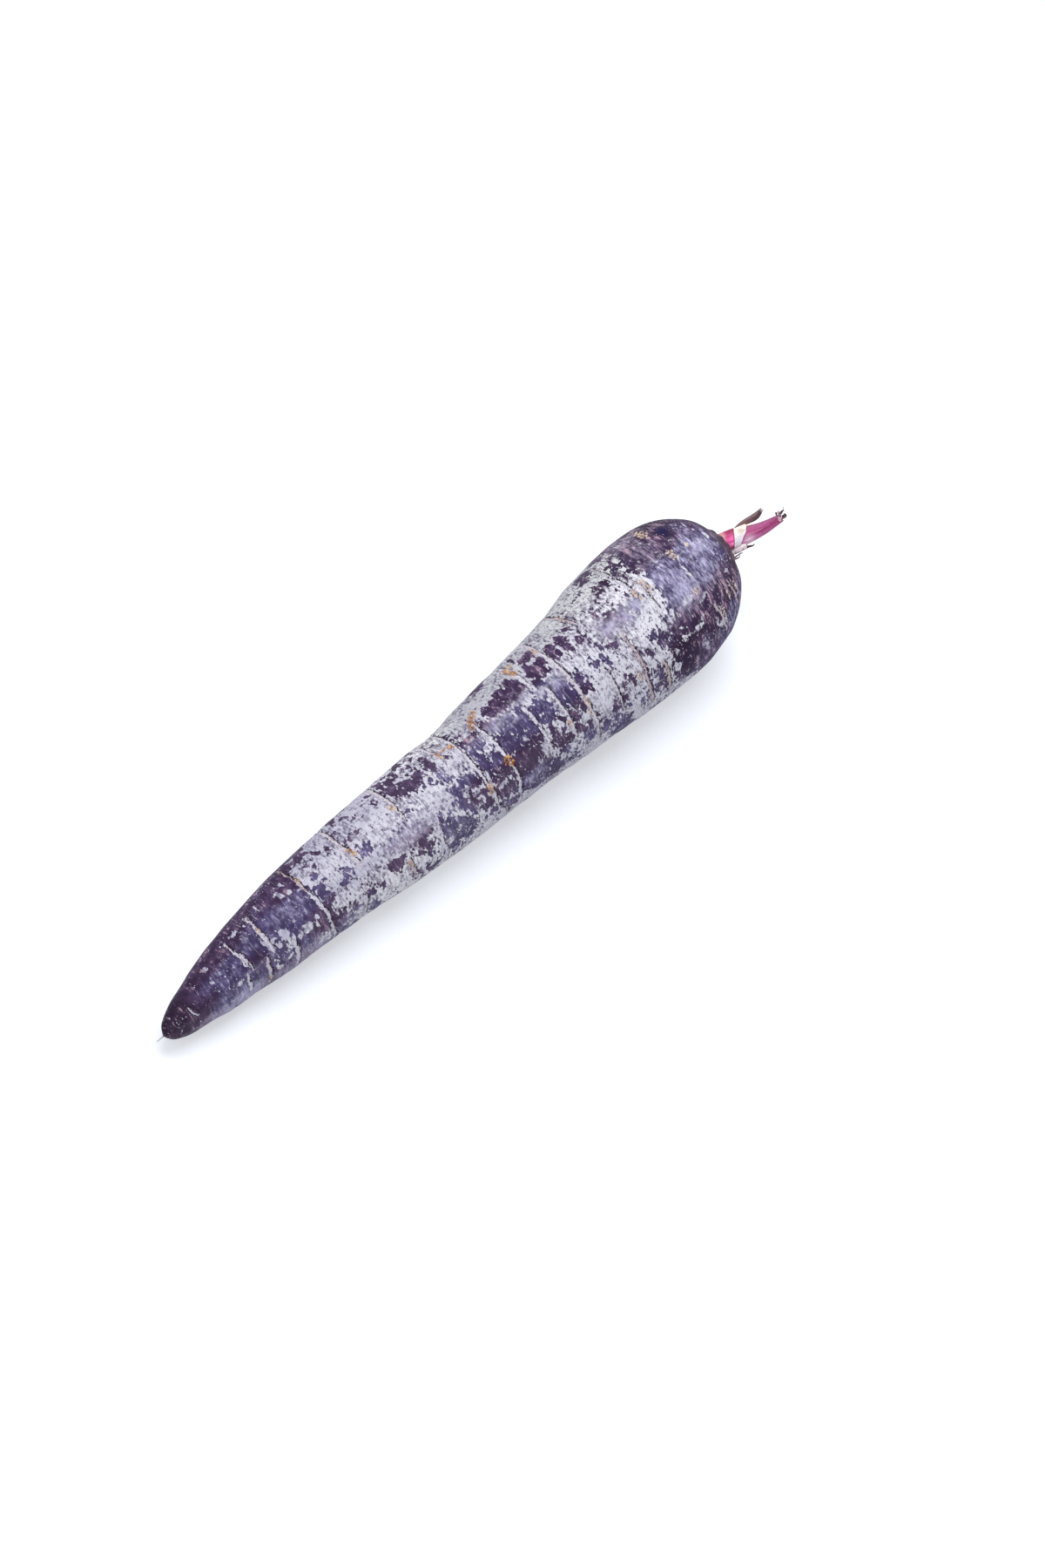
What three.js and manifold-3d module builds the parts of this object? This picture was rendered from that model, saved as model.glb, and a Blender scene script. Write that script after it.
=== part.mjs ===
// A black carrot as dug and topped, lying on its side.
// One solid taproot and the four stubs of its leaf stalks, in millimetres.
// The carrot is drawn in its own frame: x runs along the root from the tip to the crown, z is up.
// The outer group tips it onto the two places where it touches the ground.

import * as THREE from 'three';
import { mergeVertices } from 'three/addons/utils/BufferGeometryUtils.js';
import Module from 'manifold-3d';

// Driving dimensions of the taproot.
const ROOT_LENGTH = 220;
const SHOULDER_RADIUS = 22.8;
const LYING_TILT = THREE.MathUtils.degToRad(4.1);
const GROUND_PRESS = 0.35;
const ROOT_SIDES = 48;
const ROOT_RINGS = 76;

// The root's outline: share of its length from the tip, share of the shoulder radius.
// The first four points are the thread of root left at the tip, the last two the crown's hollow.
const ROOT_OUTLINE = [
  [-0.012, 0],
  [-0.0115, 0.010],
  [-0.006, 0.014],
  [-0.0005, 0.024],
  [0.0015, 0.057],
  [0.010, 0.145],
  [0.039, 0.259],
  [0.100, 0.386],
  [0.187, 0.513],
  [0.283, 0.588],
  [0.420, 0.675],
  [0.566, 0.741],
  [0.712, 0.855],
  [0.813, 0.969],
  [0.877, 1],
  [0.937, 0.899],
  [0.977, 0.655],
  [0.996, 0.380],
  [1, 0.200],
  [0.997, 0],
];

// The root's centre line, bent sideways and dipping at the tip, evenly spaced along the length: y, z.
const ROOT_BEND = [
  [1.4, -2.6],
  [2.6, -0.6],
  [0.2, 0.3],
  [-1.4, 0.2],
  [-1.0, 0],
  [0.9, 0.4],
];

// Waves that keep the root from being round: share of the radius, waves around, turn along the length.
const ROOT_WAVES = [
  { height: 0.018, around: 2, start: -0.7, twist: 0.006 },
  { height: 0.010, around: 3, start: 0.6, twist: 0.025 },
  { height: 0.008, around: 1, start: 0, twist: 0.11 },
];

// Driving dimensions of the leaf-stalk stubs. Paths start inside the crown: x, y, z.
// Each section is the stub's width and depth at the path point of the same rank.
const STUB_SIDES = 20;
const STUB_STEPS = 16;
const STUB_GAP = 0.3;
const STUB_FACING = new THREE.Vector3(0, -0.38, 0.92);

const MAIN_PETIOLE = {
  path: [
    [217, 1.8, 0.8],
    [224, 0.3, 0.3],
    [229, -1.5, 0.1],
    [234.4, -3.6, 0.2],
    [240.9, -5.7, 1.6],
  ],
  sections: [
    [5.6, 3.6],
    [5.6, 3.5],
    [5.5, 3.3],
    [4.0, 2.7],
    [2.5, 2.0],
  ],
};
const OUTER_PETIOLE = {
  path: [
    [216.5, 2.2, 1.7],
    [222, 0.7, 1.7],
    [230.3, -2.1, 1.2],
  ],
  sections: [
    [6.0, 4.4],
    [6.0, 4.2],
    [5.8, 3.8],
  ],
};
const OUTER_CUT = {
  point: new THREE.Vector3(228.6, -2.2, 3.1),
  normal: new THREE.Vector3(0.59, -0.65, -0.47),
  size: 20,
};
const DRY_PETIOLE = {
  path: [
    [218.5, 3.7, -2.4],
    [224, 3.0, -1.9],
    [228.3, 2.3, -1.0],
    [231.7, 2.0, -0.2],
    [235.9, 0.8, 0.3],
    [239.1, 0.9, 1.0],
  ],
  sections: [
    [1.4, 1.2],
    [1.5, 1.3],
    [1.5, 1.3],
    [1.6, 1.3],
    [2.1, 1.3],
    [1.0, 0.8],
  ],
};
const LOWER_STUB = {
  path: [
    [216.5, 0.3, -1.3],
    [221.5, -1.6, -1.2],
    [225.4, -3.1, -0.8],
    [227.6, -4.3, -0.8],
  ],
  sections: [
    [2.8, 2.8],
    [2.6, 2.6],
    [2.7, 2.4],
    [1.6, 1.3],
  ],
};

const wasm = await Module();
wasm.setup();

// Applies a change to every vertex of a geometry.
function moveVertices(geometry, change) {
  const position = geometry.getAttribute('position');
  const vertex = new THREE.Vector3();
  for (let i = 0; i < position.count; i += 1) {
    vertex.fromBufferAttribute(position, i);
    change(vertex);
    position.setXYZ(i, vertex.x, vertex.y, vertex.z);
  }
}

// Keeps only the positions and joins the vertices that share one place.
function closeSeams(geometry) {
  geometry.deleteAttribute('normal');
  geometry.deleteAttribute('uv');
  return mergeVertices(geometry);
}

// The root's outline as points of a lathe, pushed outwards by a clearance.
function rootOutline(clearance) {
  const points = ROOT_OUTLINE.map(
    ([along, radius]) => new THREE.Vector2(radius * SHOULDER_RADIUS, along * ROOT_LENGTH),
  );
  const outline = new THREE.SplineCurve(points);
  return outline.getPoints(ROOT_RINGS).map((point, index) => {
    const tangent = outline.getTangent(index / ROOT_RINGS);
    const isOnAxis = index === 0 || index === ROOT_RINGS;
    const radius = isOnAxis ? 0 : Math.max(point.x, 0) + tangent.y * clearance;
    return new THREE.Vector2(radius, point.y - tangent.x * clearance);
  });
}

// How far the root's radius departs from round at a place along it and an angle around it.
function rootSwell(along, angle) {
  return ROOT_WAVES.reduce(
    (sum, wave) => sum + wave.height * Math.cos(wave.around * angle + wave.twist * along + wave.start),
    0,
  );
}

// The taproot: a turned outline, swollen unevenly and carried onto the bent centre line.
function taprootGeometry(clearance = 0) {
  const bend = new THREE.CatmullRomCurve3(
    ROOT_BEND.map(([y, z], index) => new THREE.Vector3(index, y, z)),
    false,
    'catmullrom',
    0.5,
  );
  const geometry = new THREE.LatheGeometry(rootOutline(clearance), ROOT_SIDES);
  moveVertices(geometry, (vertex) => {
    const along = vertex.y;
    const angle = Math.atan2(vertex.x, vertex.z);
    const radius = Math.hypot(vertex.x, vertex.z) * (1 + rootSwell(along, angle));
    const centre = bend.getPoint(THREE.MathUtils.clamp(along / ROOT_LENGTH, 0, 1));
    vertex.set(along, centre.y - radius * Math.sin(angle), centre.z + radius * Math.cos(angle));
  });
  return closeSeams(geometry);
}

// Presses the underside level where the root bears on the ground.
function pressOntoGround(geometry) {
  const up = new THREE.Vector3(Math.sin(LYING_TILT), 0, Math.cos(LYING_TILT));
  let lowest = Infinity;
  moveVertices(geometry, (vertex) => {
    lowest = Math.min(lowest, vertex.dot(up));
  });
  const ground = lowest + GROUND_PRESS;
  moveVertices(geometry, (vertex) => {
    const sunk = Math.max(ground - vertex.dot(up), 0);
    vertex.addScaledVector(up, sunk);
  });
}

// A leaf-stalk stub: a cylinder carried along a curve, with an oval section that tapers.
function stubGeometry({ path, sections }, clearance = 0) {
  const curve = new THREE.CatmullRomCurve3(path.map((point) => new THREE.Vector3(...point)));
  const taper = new THREE.SplineCurve(sections.map((size) => new THREE.Vector2(...size)));
  const geometry = new THREE.CylinderGeometry(1, 1, 1, STUB_SIDES, STUB_STEPS);
  moveVertices(geometry, (vertex) => {
    const share = vertex.y + 0.5;
    const size = taper.getPoint(share);
    const tangent = curve.getTangent(share);
    const across = new THREE.Vector3().crossVectors(tangent, STUB_FACING).normalize();
    const outward = new THREE.Vector3().crossVectors(across, tangent);
    const offAcross = vertex.x * (size.x / 2 + clearance);
    const offOutward = vertex.z * (size.y / 2 + clearance);
    vertex.copy(curve.getPoint(share));
    vertex.addScaledVector(across, offAcross);
    vertex.addScaledVector(outward, offOutward);
  });
  return closeSeams(geometry);
}

// The space beyond an oblique cut, as a box with one face on the cutting plane.
function cutSpace({ point, normal, size }) {
  const geometry = new THREE.BoxGeometry(size, size, size);
  geometry.translate(0, 0, size / 2);
  const boxAxis = new THREE.Vector3(0, 0, 1);
  const turn = new THREE.Quaternion().setFromUnitVectors(boxAxis, normal.clone().normalize());
  geometry.applyQuaternion(turn);
  geometry.translate(point.x, point.y, point.z);
  return closeSeams(geometry);
}

function toSolid(geometry) {
  const vertProperties = new Float32Array(geometry.getAttribute('position').array);
  const triVerts = new Uint32Array(geometry.index.array);
  return new wasm.Manifold(new wasm.Mesh({ numProp: 3, vertProperties, triVerts }));
}

function toGeometry(solid) {
  const { vertProperties, triVerts } = solid.getMesh();
  const geometry = new THREE.BufferGeometry();
  geometry.setAttribute('position', new THREE.BufferAttribute(vertProperties, 3));
  geometry.setIndex(new THREE.BufferAttribute(triVerts, 1));
  return geometry;
}

// Cuts a geometry back so that it stays clear of the others.
function cutBack(geometry, others) {
  const cut = others.reduce((solid, other) => solid.subtract(toSolid(other)), toSolid(geometry));
  return toGeometry(cut);
}

function pieceMesh(name, geometry, color, roughness) {
  const material = new THREE.MeshStandardMaterial({ color, roughness, metalness: 0 });
  const mesh = new THREE.Mesh(geometry, material);
  mesh.name = name;
  return mesh;
}

const taproot = taprootGeometry();
pressOntoGround(taproot);

const crownSpace = taprootGeometry(STUB_GAP);
const mainSpace = stubGeometry(MAIN_PETIOLE, STUB_GAP);
const outerSpace = stubGeometry(OUTER_PETIOLE, STUB_GAP);
const mainPetiole = cutBack(stubGeometry(MAIN_PETIOLE), [crownSpace]);
const outerPetiole = cutBack(stubGeometry(OUTER_PETIOLE), [crownSpace, mainSpace, cutSpace(OUTER_CUT)]);
const dryPetiole = cutBack(stubGeometry(DRY_PETIOLE), [crownSpace, mainSpace, outerSpace]);
const lowerStub = cutBack(stubGeometry(LOWER_STUB), [crownSpace, mainSpace, outerSpace]);

const lyingCarrot = new THREE.Group();
lyingCarrot.rotation.y = -LYING_TILT;
lyingCarrot.add(pieceMesh('taproot', taproot, '#554a5e', 0.55));
lyingCarrot.add(pieceMesh('main_petiole', mainPetiole, '#a8557f', 0.45));
lyingCarrot.add(pieceMesh('outer_petiole_base', outerPetiole, '#d9b3bd', 0.5));
lyingCarrot.add(pieceMesh('dry_petiole', dryPetiole, '#6b5150', 0.8));
lyingCarrot.add(pieceMesh('lower_petiole_stub', lowerStub, '#d8c2c4', 0.6));

// The origin is on the ground, below the middle of the whole carrot.
const carrot = new THREE.Group();
carrot.add(lyingCarrot);
carrot.updateMatrixWorld(true);
const bounds = new THREE.Box3().setFromObject(carrot, true);
const middle = bounds.getCenter(new THREE.Vector3());
carrot.position.set(-middle.x, -middle.y, -bounds.min.z);
carrot.updateMatrixWorld(true);

export default carrot;
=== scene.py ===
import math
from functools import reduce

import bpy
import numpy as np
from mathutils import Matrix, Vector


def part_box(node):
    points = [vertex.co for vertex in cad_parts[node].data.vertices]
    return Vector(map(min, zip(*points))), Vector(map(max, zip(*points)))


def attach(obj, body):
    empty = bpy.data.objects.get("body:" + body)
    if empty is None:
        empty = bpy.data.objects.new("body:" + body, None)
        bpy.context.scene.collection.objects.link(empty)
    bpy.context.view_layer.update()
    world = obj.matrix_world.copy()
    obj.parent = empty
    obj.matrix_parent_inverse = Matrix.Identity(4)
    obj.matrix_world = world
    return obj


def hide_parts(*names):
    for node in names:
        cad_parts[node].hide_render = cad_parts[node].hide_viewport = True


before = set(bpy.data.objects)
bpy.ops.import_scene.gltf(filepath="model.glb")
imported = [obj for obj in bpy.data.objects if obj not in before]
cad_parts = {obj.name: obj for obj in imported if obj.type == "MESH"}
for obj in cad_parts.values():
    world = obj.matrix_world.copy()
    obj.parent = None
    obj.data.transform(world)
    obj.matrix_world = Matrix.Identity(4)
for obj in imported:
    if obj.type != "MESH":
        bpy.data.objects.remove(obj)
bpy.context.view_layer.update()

# A black carrot lying on a plain pale floor, in soft studio light.
#
# The root and its leaf-stalk stubs are fine meshes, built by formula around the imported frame.
# Lengths are in millimetres until a mesh is written. The carrot has its own frame: x runs along
# the root from the tip to the crown, z is up. Angles round the root are in degrees: 0 is the top,
# and they grow towards the -y side.

MM = 0.001

# ---------------------------------------------------------------- the root's shape

ROOT_LENGTH = 220.0
SHOULDER_RADIUS = 22.8
MEAN_RADIUS = 15.0
LYING_TILT = math.radians(4.1)
GROUND_PRESS = 0.35
ROOT_SIDES = 190
ROOT_RINGS = 510
OUTLINE_SAMPLES = 6000
WAVE_COUNT = 36
WAVE_SIZES = (0.6, 1.8)

# Share of the length from the tip, share of the shoulder radius: thread, tip, shoulder, crown.
ROOT_OUTLINE = [
    (-0.013, 0), (-0.0125, 0.005), (-0.006, 0.007), (-0.0008, 0.012), (0.001, 0.050),
    (0.010, 0.145), (0.039, 0.259), (0.100, 0.386), (0.187, 0.513), (0.283, 0.588),
    (0.420, 0.675), (0.566, 0.741), (0.712, 0.855), (0.813, 0.969), (0.877, 1),
    (0.937, 0.899), (0.977, 0.655), (0.996, 0.380), (1, 0.200), (0.997, 0),
]
# The centre line's y and z, evenly spaced along the length.
ROOT_BEND = [(1.4, -2.6), (2.6, -0.6), (0.2, 0.3), (-1.4, 0.2), (-1.0, 0), (0.9, 0.4)]
# Share of the radius, waves around, turn along the length, start.
ROOT_WAVES = [(0.018, 2, 0.006, -0.7), (0.010, 3, 0.025, 0.6), (0.008, 1, 0.11, 0)]

# A zone is a share, an arc (first and last angle, softness of its ends), and the places along
# between which it rises and between which it fades again.
ALL_ROUND = (-360, 360, 1)
FROM_TIP = (-99, -98)
TO_CROWN = (998, 999)

# How far the thick end leans toward +y, beside the bend.
SIDEWAYS_LEAN = [(0.55, ALL_ROUND, (108, 140), (206, 218))]
# Random swells, larger than the creases: height, seed, size.
SWELLS = [(0.12, 31, 14.0), (0.05, 32, 4.0)]
# Dents: place, angle, half length, half angle, depth.
DENTS = [(11.5, 85, 3.5, 35, 0.55), (28.5, 95, 4.0, 30, 0.50), (114.5, -78, 6.5, 45, 0.85)]

# Creases: first and last angle, place at the first, middle and last angle, furrow depth,
# width of the pale ring, how dark its edges are, how tan it is.
CREASES = [
    (12, 52, 9, 9.4, 10, 0.12, 0.5, 0.5, 0), (-24, 48, 28.2, 28.4, 28.3, 0.35, 0.8, 0.7, 0.1),
    (6, 54, 29.3, 29.4, 29.5, 0.2, 0.7, 0.8, 0.2), (44, 92, 27.5, 26.4, 26.2, 0.15, 1, 0.2, 0),
    (-30, 50, 37, 37.1, 36.8, 0.25, 1.1, 0.4, 0.2), (40, 102, 34.6, 33, 31.8, 0.25, 1.1, 0.5, 0.3),
    (-28, -10, 41.2, 41.3, 41.4, 0.1, 0.4, 0.1, 0), (38, 104, 44, 42.2, 41, 0.25, 1.5, 0.4, 0),
    (-64, -44, 47.4, 47.6, 47.8, 0.15, 0.4, 0.1, 0), (-62, 22, 53.9, 54.2, 54.7, 0.5, 0.5, 1, 0.8),
    (6, 110, 54.6, 55, 53.8, 0.5, 1.1, 0.6, 0), (58, 106, 67.2, 65.6, 65, 0.2, 1.4, 0.3, 0),
    (-74, 36, 70.2, 70.2, 70.8, 0.45, 1.1, 1, 0.3), (54, 92, 82.9, 82.5, 82.6, 0.25, 1.3, 0.5, 0.5),
    (-74, 26, 88.8, 88.9, 88.8, 0.45, 0.9, 0.9, 0.3), (42, 110, 94.6, 93.9, 93.4, 0.25, 1.4, 0.3, 0),
    (-56, 10, 107.6, 107.8, 108, 0.2, 1, 0.2, 0.1), (-66, 96, 113, 113.8, 112.8, 0.4, 1, 0.7, 0.1),
    (74, 104, 115.4, 115.8, 116.4, 0.25, 0.3, 1, 0), (-28, 106, 121.2, 122.8, 120.2, 0.35, 1.1, 0.6, 0),
    (2, 70, 136, 135.9, 135.2, 0.3, 1, 0.4, 0.1), (-50, 14, 141.6, 141.8, 142.4, 0.3, 1.1, 0.3, 0.1),
    (6, 72, 144.8, 144.4, 143.4, 0.4, 1, 0.7, 0.1), (-66, 100, 151.2, 151.6, 150.2, 0.45, 1.3, 0.4, 0.2),
    (-14, 24, 156, 156.2, 156.2, 0.15, 0.8, 0.1, 0), (-60, -8, 163, 163.5, 165.2, 0.35, 0.7, 1, 0.5),
    (24, 84, 160.9, 161, 160.4, 0.25, 0.7, 0.6, 0.1), (16, 100, 171.6, 171.2, 170.2, 0.4, 0.9, 0.9, 0.7),
    (56, 96, 177.8, 177.4, 177, 0.25, 1.1, 0.7, 0.7), (-56, 14, 182.2, 182.5, 182.8, 0.15, 0.4, 0.5, 0),
    (-24, 30, 185.4, 185.2, 185.4, 0.15, 0.3, 0.4, 0), (54, 92, 200.6, 201.4, 201.8, 0.15, 0.8, 0.3, 0.6),
    (48, 84, 208.6, 209.4, 210, 0.12, 0.6, 0.3, 0.8),
]
# Beyond this distance from its middle line, a crease doesn't tint the skin.
CREASE_REACH = 4.0
# Sways of that line: height, fewest and most swings in a full turn. Then the same of its ring's
# width, as a share; and the outer share of each half of a crease over which it fades.
SWAY_SEED = 5
CREASE_SWAYS = [(0.16, 5, 9), (0.10, 14, 24)]
WIDTH_SWAY = (0.18, 6, 12)
CREASE_FADE = 0.35
# Across a crease of depth 1: how high its ring stands, and the depth and half width of the
# groove on the ring's crown side, of the one on its tip side, and of the waist they all lie in.
RING_HEIGHT = 0.5
CROWN_GROOVE = (1.0, 0.30)
TIP_GROOVE = (0.5, 0.26)
WAIST = (0.35, 3.2)
# How high a rootlet scar's tuft stands, and how deep the pit in it is.
TUFT_HEIGHT = 0.30
PIT_DEPTH = 0.45
# The mound round the stubs: where it rises, the radii between which it fades, its height, and the
# heights of the rings and folds on it.
MOUND_RISE = (206, 216)
MOUND_FADE = (5.5, 9.5)
MOUND_HEIGHT = 0.9
MOUND_RING = 0.16
MOUND_FOLD = 0.14
# The random swells start between these places, and all relief between these radii.
SWELLS_START = (2, 14)
RELIEF_START = (0.5, 3.0)

# ---------------------------------------------------------------- marks on the root

# The side turned from the camera, whose marks are strewn by chance.
FAR_SIDE = (112.0, 290.0)
# Its creases: seed, how many, first and last place along, range of how far round they reach, how far
# they stray from even spacing, and the ranges of the furrow depth, ring width, darkness and tan.
FAR_CREASE_SEED = 11
FAR_CREASES = 26
FAR_CREASE_SPAN = (20, 196)
FAR_CREASE_REACH = (35, 110)
FAR_CREASE_STRAY = 2.5
FAR_CREASE_FINISH = [(0.2, 0.5), (0.6, 1.5), (0.3, 0.9), (0, 0.5)]
# Its other marks: seed, count, first and last place along, then the ranges of their half length, of
# degrees round for each millimetre of it, and of each further number. Their largest half angle, how
# far past the far side's ends they may lie, and how much commoner small ones are follow.
FAR_BARE = (71, 150, 57, 188, (0.5, 4.6), (3, 9))
FAR_WORN = (72, 26, 58, 188, (3.5, 9.0), (2.5, 5), (0.22, 0.6))
FAR_FILM = (73, 24, 18, 208, (0.5, 2.2), (3, 8))
FAR_HAZES = (74, 22, 10, 212, (3.0, 9.0), (2, 4), (0.2, 0.75))
FAR_DEEPS = (75, 12, 6, 212, (3.0, 10.0), (2, 4), (0.3, 0.8))
FAR_SCARS = (76, 11, 70, 200, (0.5, 1.2), (4, 7), (0, 1))
WIDEST_STREWN = 32
STREWN_OVERLAP = 4
SMALL_IS_COMMON = 2.5

# Where the film starts and ends, and the arcs where it does so sooner or later: millimetres
# further toward the crown, first and last angle, softness. Last, how far the far side's edge sways.
FILM_START = (56.0, [(-1.6, -30, 8, 10), (1.2, 20, 110, 30)], 3.0)
FILM_END = (188.6, [(-8.2, 39, 100, 5)], 1.5)
# Half the length over which the film comes and goes there.
FILM_START_FADE = 1.5
FILM_END_FADE = 2.5
# How far the film's marks wander, the radius that turns this into an angle, and how much further
# than its sizes a bare patch reaches.
FILM_WANDER = 0.35
FILM_RADIUS = 18.0
BARE_MARGIN = 0.12
# The cover that a bare patch takes away and that a thin line leaves, of 1; the cover's level where
# there is no film and where it is whole, and how far chance moves it.
BARE_SHARE = 0.9
LINE_SHARE = 0.8
BARE_LEVEL = 0.06
WHOLE_LEVEL = 0.92
CHANCE_LEVEL = 0.04
# Random fields: seed, size. Of the film's level, of its edge on the far side, of its marks' wander
# along and round the root, and of the skin's violet cast.
LEVEL_FIELD = (3, 7.0)
EDGE_FIELD = (8, 30.0)
ALONG_FIELD = (61, 3.2)
ROUND_FIELD = (62, 3.2)
VIOLET_FIELD = (21, 12.0)
VIOLET_CHANCE = 0.22

# From here on, a mark is an oval: place along, angle, half length, half angle.
# Where the film is missing, from the tip to the crown.
BARE_PATCHES = [
    (56.6, -36, 0.8, 7), (57.6, 94, 1.6, 12), (58.4, 28, 1.9, 15), (58.8, 4, 1, 4), (58.8, 74, 1.4, 12),
    (59.2, -14, 0.5, 5), (60.2, -33, 3, 7), (60.5, -53, 4.4, 10), (61, -19, 0.6, 2), (61, -4, 0.7, 4),
    (61.6, 82, 0.7, 5), (62.6, 66, 1, 7), (63.5, -21, 0.5, 4), (64.6, -17, 0.9, 2), (64.8, 32, 1.9, 3),
    (66.6, 21, 0.9, 6), (67.3, -14, 0.6, 2.5), (67.4, 28, 0.9, 3), (67.8, 66, 0.8, 4), (68.6, 94, 2.2, 13),
    (69.2, 66, 1, 4), (72.3, 67, 0.5, 4), (73.4, -7, 0.4, 5), (74.6, -47, 1.3, 10), (74.8, 17, 1.5, 5),
    (76.6, -35, 0.9, 3), (76.8, -3, 1.2, 3), (78, -32, 0.7, 2), (78.6, 54, 2.4, 6), (79.3, -25, 0.5, 1.5),
    (79.4, 62, 1.4, 3), (81.6, 50, 0.9, 2.5), (83.8, -30, 0.8, 2), (84.4, 84, 0.5, 4), (86.6, 63, 0.8, 3),
    (86.8, -22, 0.7, 4), (87.4, -38, 0.5, 5), (87.4, 89, 0.6, 6), (89, 69, 1.2, 4), (89.4, 98, 2, 9),
    (89.6, 54, 1.9, 9), (90.8, -40, 0.6, 12), (91, 13, 1, 1.5), (92.4, -33, 0.6, 4), (92.4, 46, 1.2, 3.5),
    (93.6, -47, 1, 5), (93.6, -20, 3.4, 15), (94.5, 14, 0.5, 3), (96.2, 55, 1.1, 8), (96.4, -8, 4.4, 8),
    (96.9, 46, 0.9, 6), (97, -34, 0.6, 5), (97, 82, 1.6, 8), (98.2, 57, 1.4, 9), (98.4, -45, 0.7, 8),
    (98.8, 4, 0.5, 4), (99.6, -50, 0.9, 10), (99.8, -12, 2, 10), (100.2, 73, 1.2, 6), (100.8, -29, 0.5, 2),
    (101, 58, 1, 5), (101.3, 5, 0.7, 2.5), (102, 79, 2.8, 5), (102.5, 26, 0.6, 1.5), (102.8, 67, 1.9, 10),
    (103, 12, 0.7, 3), (103.2, -35, 0.7, 2.5), (104.4, 38, 1.4, 12), (104.6, -10, 1.3, 10),
    (104.8, -24, 0.8, 3), (105, -54, 0.8, 9), (105.2, 9, 1.4, 7), (105.8, 55, 0.8, 7),
    (107.6, 30, 1.4, 2.5), (107.9, 47, 0.7, 5), (108.8, 76, 1.2, 3), (109.2, 62, 0.9, 3.5),
    (109.6, 28, 2.3, 5), (110.2, -31, 0.5, 2), (110.3, -3, 0.6, 3), (111, 72, 1.4, 3), (111.4, 62, 1.4, 4),
    (111.6, 52, 0.5, 4), (112.2, 35, 1.1, 4), (112.4, 83, 0.8, 4), (113.4, 30, 0.4, 9),
    (115.2, -19, 0.7, 6), (116, 45, 0.7, 5), (116.2, 12, 1, 3), (116.8, 63, 1.8, 5), (117, -15, 1, 2),
    (117.6, 2, 3.4, 9), (117.6, 58, 3.2, 12), (117.8, 29, 3.4, 12), (117.8, 83, 2.4, 6),
    (118.6, 43, 1.1, 4), (119.2, 65, 1.4, 6), (119.6, 10, 1.3, 3), (120.4, 50, 1.2, 8), (121, 34, 1.8, 14),
    (122.2, 56, 2, 14), (123.9, 22, 1.1, 12), (124, 73, 1.8, 6), (124.2, 1, 1.1, 7), (125, 56, 2.6, 14),
    (127.4, 2, 1.1, 2.5), (127.9, -11, 0.7, 3), (128.9, 35, 5.6, 29), (129.4, -12, 2.2, 9),
    (129.6, 66, 3.8, 4), (130.3, -18, 0.8, 4), (131.4, 85, 7.4, 9), (132.6, -22, 0.9, 4),
    (133.8, 30, 1.8, 18), (134.8, -12, 5.6, 12), (138, 44, 1, 6), (138.4, -20, 1.1, 4.5), (139, 57, 2.8, 9),
    (139, 68, 1.8, 4), (139.6, 25, 3.4, 14), (139.8, -9, 1.1, 4), (141.4, 52, 1, 3.5), (141.4, 63, 1.2, 5),
    (142.8, 40, 0.8, 6), (143.8, 1, 1.1, 5), (145.4, -43, 0.5, 6), (145.6, 58, 0.7, 5), (146.2, 43, 1.2, 5),
    (146.4, 16, 1.4, 4), (146.6, 63, 0.8, 5), (147.2, -26, 2.2, 8), (147.4, -9, 3.7, 12),
    (147.6, 28, 2.6, 17), (148, 74, 1.3, 6), (149, 65, 0.5, 3), (149.4, 44, 0.9, 4), (149.6, -25, 0.7, 4),
    (150.5, 28, 0.4, 10), (152.5, 62, 0.8, 3), (153.5, 76, 1.7, 5), (154.2, 25, 2.1, 9),
    (154.3, 34, 1.7, 3.5), (154.4, -11, 1.5, 11), (155, -5, 0.8, 4), (155.4, 40, 0.8, 2),
    (157.4, -3, 0.9, 2.5), (157.6, 78, 0.8, 4), (157.8, -9, 1.4, 9), (158.7, 67, 0.9, 6), (160, 24, 1, 3.5),
    (161.6, -17, 0.9, 2.5), (162, 0, 1.1, 3), (162, 76, 0.7, 2.5), (162.2, 64, 1, 4), (162.2, 90, 1, 4),
    (163, 28, 0.7, 5), (164.2, 54, 0.4, 2), (165, 19, 0.6, 3), (165.8, 50, 0.5, 4), (166.8, 60, 0.5, 3),
    (167.3, 25, 0.8, 4), (168.6, -14, 0.6, 1.5), (169.6, 13, 1.8, 3), (170.4, 5, 2, 3), (171, -1, 1.4, 1.5),
    (172, -31, 1.3, 1.5), (175, 12, 2.4, 5), (175.8, 71, 0.9, 11), (176, 48, 0.9, 2), (176, 88, 0.8, 6),
    (176.4, -16, 1.6, 2.5), (177.6, -23, 1.4, 3), (178.2, -37, 1.8, 3), (178.6, -48, 2.6, 8),
    (179.4, 44, 1, 5), (179.6, -20, 1.3, 5), (181, 11, 1.6, 5), (182.6, -16, 0.3, 4), (184.2, -29, 0.6, 2),
    (184.8, -15, 1.1, 8), (186, -28, 0.7, 4), (186.4, -22, 1.2, 6), (188, -13, 1.4, 8),
]
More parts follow.
